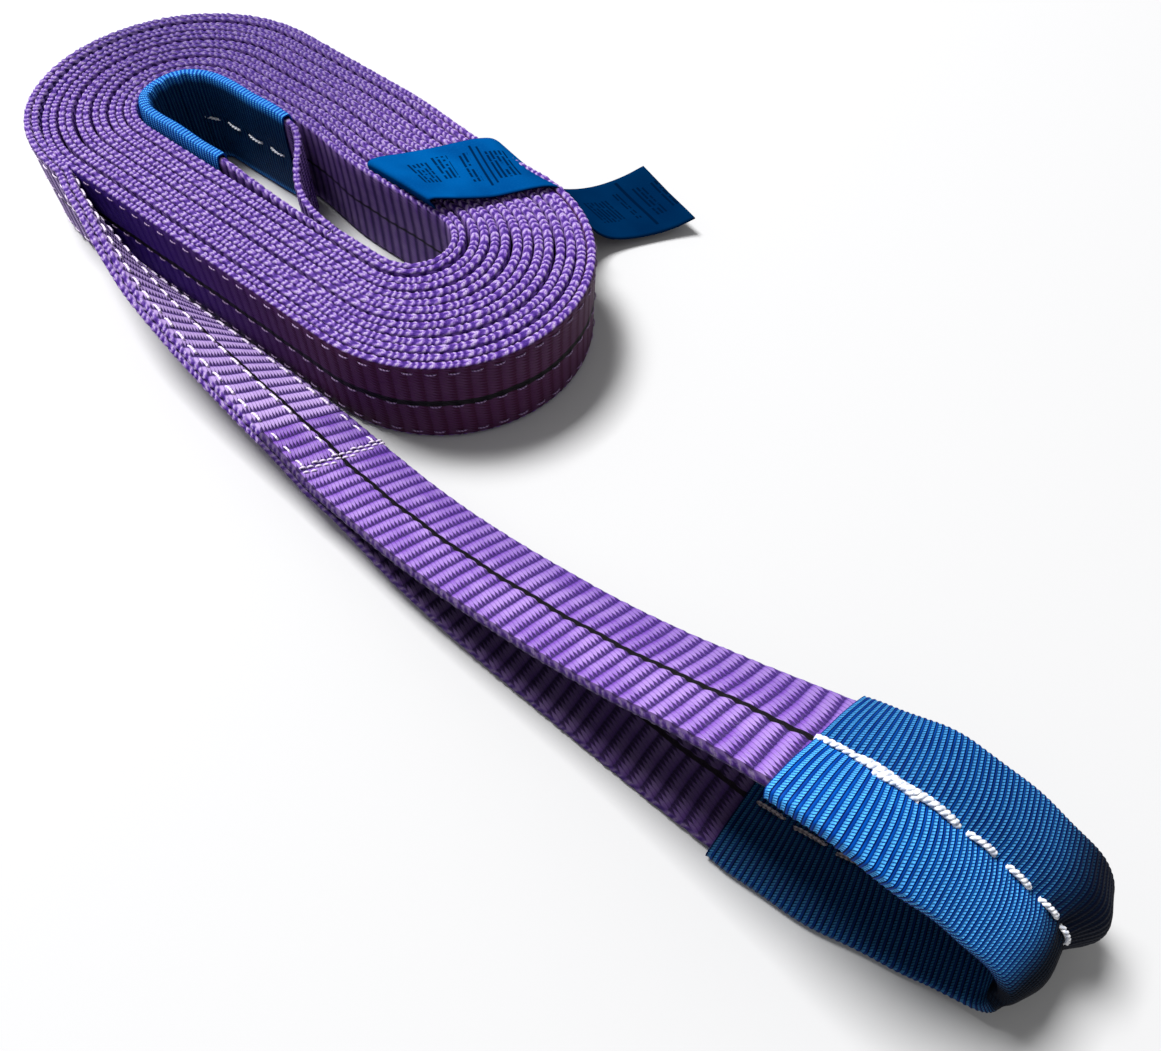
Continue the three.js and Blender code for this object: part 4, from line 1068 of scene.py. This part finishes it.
# the last stitches before the crotch and the cross seam ride with the eye's own root
bag = Bag()
up_cut = eye.cut(eye.s[0], eye.s[0] + CUT_BACK + 2)
for w in (-12.2, -1.4, 12.2):
    s = eye.s[0] + 1.5
    while s + 2.9 < S_CROTCH - 3:
        line, nn = stitch_line(up_cut, s, s + 2.9, w, w + 0.1, 0.30, OUT - 0.05 - PLY_OFF, 1.0, m=7)
        bag.add(tube_along(line, 0.34, k=6, squash_n=nn, flat=0.8))
        s += 5.7
for i, w in enumerate(np.arange(-13.2, 13.3, 2.2)):
    s = S_CROTCH - 4.2 + 0.5 * math.sin(i * 2.1)
    for dx in (0.0, 1.5):
        line, nn = stitch_line(up_cut, s + dx, s + dx + 0.35, w, w + 1.7, 0.30, OUT - 0.05 - PLY_OFF, 1.0, m=7)
        bag.add(tube_along(line, 0.34, k=6, squash_n=nn, flat=0.8))
ob = bag.make("stitches_crotch")
finish_piece(ob, mat_lilac, None, ["outer_eye_cross_seam"], EYE_BLEND)
bag = Bag()
for w in np.arange(-12.6, 12.0, 2.2):
    line, nn = stitch_line(coil_path, 3.0, 3.35, w, w + 1.6, 0.30, OUT - 0.05, 1.0, m=7)
    bag.add(tube_along(line, 0.3, k=6, squash_n=nn, flat=0.8))
ob = bag.make("stitches_inner_crotch")
finish_piece(ob, mat_lilac, "coil", ["inner_eye_cross_seam"])

# ------------------------------------------------------------------ label
lm = np.array([32.32, 11.8])
EDGES = np.array([  # left edge, right edge
    [17.9, 11.95, 24.0, 46.8, 11.65, 24.0], [17.9, 11.95, 27.5, 46.8, 11.65, 27.2], [17.9, 11.9, 30.0, 46.8, 11.4, 29.8],
    [18.0, 11.6, 31.4, 46.9, 10.2, 31.8], [18.5, 12.3, 32.4, 47.2, 9.2, 33.6], [19.8, 15.2, 32.5, 48.1, 9.8, 34.5],
    [22.4, 20.8, 31.8, 50.4, 12.4, 34.1], [25.3, 27.2, 31.4, 53.4, 15.7, 33.0], [28.6, 32.9, 31.3, 56.6, 19.3, 32.4],
    [32.2, 38.4, 31.3, 59.6, 24.6, 31.6], [36.0, 43.2, 31.2, 62.2, 30.4, 31.5], [39.6, 46.6, 30.6, 64.8, 35.8, 31.5],
    [42.4, 48.6, 28.4, 67.0, 40.0, 31.0], [44.4, 50.6, 24.6, 68.8, 43.8, 28.6], [46.2, 53.0, 19.8, 70.6, 47.6, 23.4],
    [47.8, 56.0, 14.6, 72.2, 50.8, 16.6], [49.6, 60.0, 9.9, 74.4, 54.6, 9.8], [52.4, 65.2, 6.6, 77.6, 59.4, 5.0],
    [56.2, 71.6, 4.8, 81.6, 65.6, 2.7], [60.8, 78.8, 4.4, 86.0, 72.6, 2.3], [65.4, 86.2, 5.6, 90.4, 79.8, 3.4],
    [69.2, 92.6, 8.0, 94.0, 86.0, 5.4]], float)
mid_rows = (EDGES[:, :3] + EDGES[:, 3:]) / 2
dense = catmull(np.column_stack([mid_rows, unit(EDGES[:, 3:] - EDGES[:, :3])]), 12)
tag = Path(dense[:, :3], dense[:, 3:6], step=0.6)
# keep the strip square to its width direction as measured, rather than to its path
s_d = arc_length(dense[:, :3])
tag.b = unit(np.stack([np.interp(tag.s, s_d, dense[:, 3 + i]) for i in range(3)], 1))
tag.n = unit(np.cross(tag.t, tag.b))
nw = 24
wv = np.linspace(-14.5, 14.5, nw)
t_half = 0.3
S = tag.s[:, None]
bow = 0.2 * np.cos(wv[None] / 14.5 * math.pi) * smooth(12, 30, S)
ripple = 0.25 * np.sin(S * 0.17 + wv[None] * 0.10) * smooth(14, 26, S) + 0.18 * np.sin(S * 0.06 - wv[None] * 0.25) * smooth(30, 60, S)
hgt = bow + ripple
front = tag.c[:, None] + tag.b[:, None] * wv[None, :, None] + tag.n[:, None] * (hgt + t_half)[..., None]
back = tag.c[:, None] + tag.b[:, None] * wv[None, ::-1, None] + tag.n[:, None] * (hgt[:, ::-1] - t_half)[..., None]
P = np.concatenate([front, back], 1)
pcoord = np.concatenate([wv, 100 + wv])
ob = ring_solid("label_strip_print", P, tag.s, pcoord, 100 + 14.6)
mat_label = label_material("label_print", tag.length)
finish_piece(ob, mat_label, None, ["label_strip", "label_sewn_end"],
             ("coil", "label", row_frame([lm[0], lm[1], 30.45]), row_frame([lm[0], lm[1] + 7.3, 32.65])))

# ------------------------------------------------------------------ floor, light, camera
bpy.ops.mesh.primitive_plane_add(size=6, location=(0, 0, -0.0004))
floor = bpy.context.object
floor.name = "floor"
fm = bpy.data.materials.new("floor_plain")
fm.use_nodes = True
fm.node_tree.nodes["Principled BSDF"].inputs["Base Color"].default_value = (0.43, 0.43, 0.434, 1)
fm.node_tree.nodes["Principled BSDF"].inputs["Roughness"].default_value = 0.9
floor.data.materials.append(fm)

world = bpy.data.worlds.new("studio") if bpy.context.scene.world is None else bpy.context.scene.world
bpy.context.scene.world = world
world.use_nodes = True
bg = world.node_tree.nodes.get("Background")
bg.inputs[0].default_value = (1, 1, 1, 1)
bg.inputs[1].default_value = 0.42


def area(name, loc, target, size, power):
    light = bpy.data.lights.new(name, "AREA")
    light.shape = "RECTANGLE"
    light.size, light.size_y = size
    light.energy = power
    ob = bpy.data.objects.new(name, light)
    bpy.context.scene.collection.objects.link(ob)
    ob.location = loc
    ob.rotation_euler = (Vector(target) - Vector(loc)).to_track_quat("-Z", "Y").to_euler()
    return ob


area("key", (-1.65, 0.06, 3.1), (0.0, -0.01, 0.0), (1.15, 1.15), 268)
bpy.context.scene.view_settings.view_transform = "Standard"

cam_data = bpy.data.cameras.new("photo_view")
cam_data.sensor_fit = "HORIZONTAL"
cam_data.sensor_width = 36.0
cam_data.lens = 951.15 * 36.0 / 1161.0
cam_data.clip_start, cam_data.clip_end = 0.01, 20
cam = bpy.data.objects.new("photo_view", cam_data)
bpy.context.scene.collection.objects.link(cam)
right = Vector((0.77996746, 0.62548899, 0.02035423))
upv = Vector((-0.53260706, 0.64636605, 0.54638873))
fwd = Vector((-0.32860385, 0.43700624, -0.83728434))
place = (np.array([228.671, -150.503, 220.705]) + SHIFT) * MM
cam.matrix_world = Matrix(
    ((right.x, upv.x, -fwd.x, place[0]), (right.y, upv.y, -fwd.y, place[1]), (right.z, upv.z, -fwd.z, place[2]), (0, 0, 0, 1))
)
bpy.context.scene.camera = cam
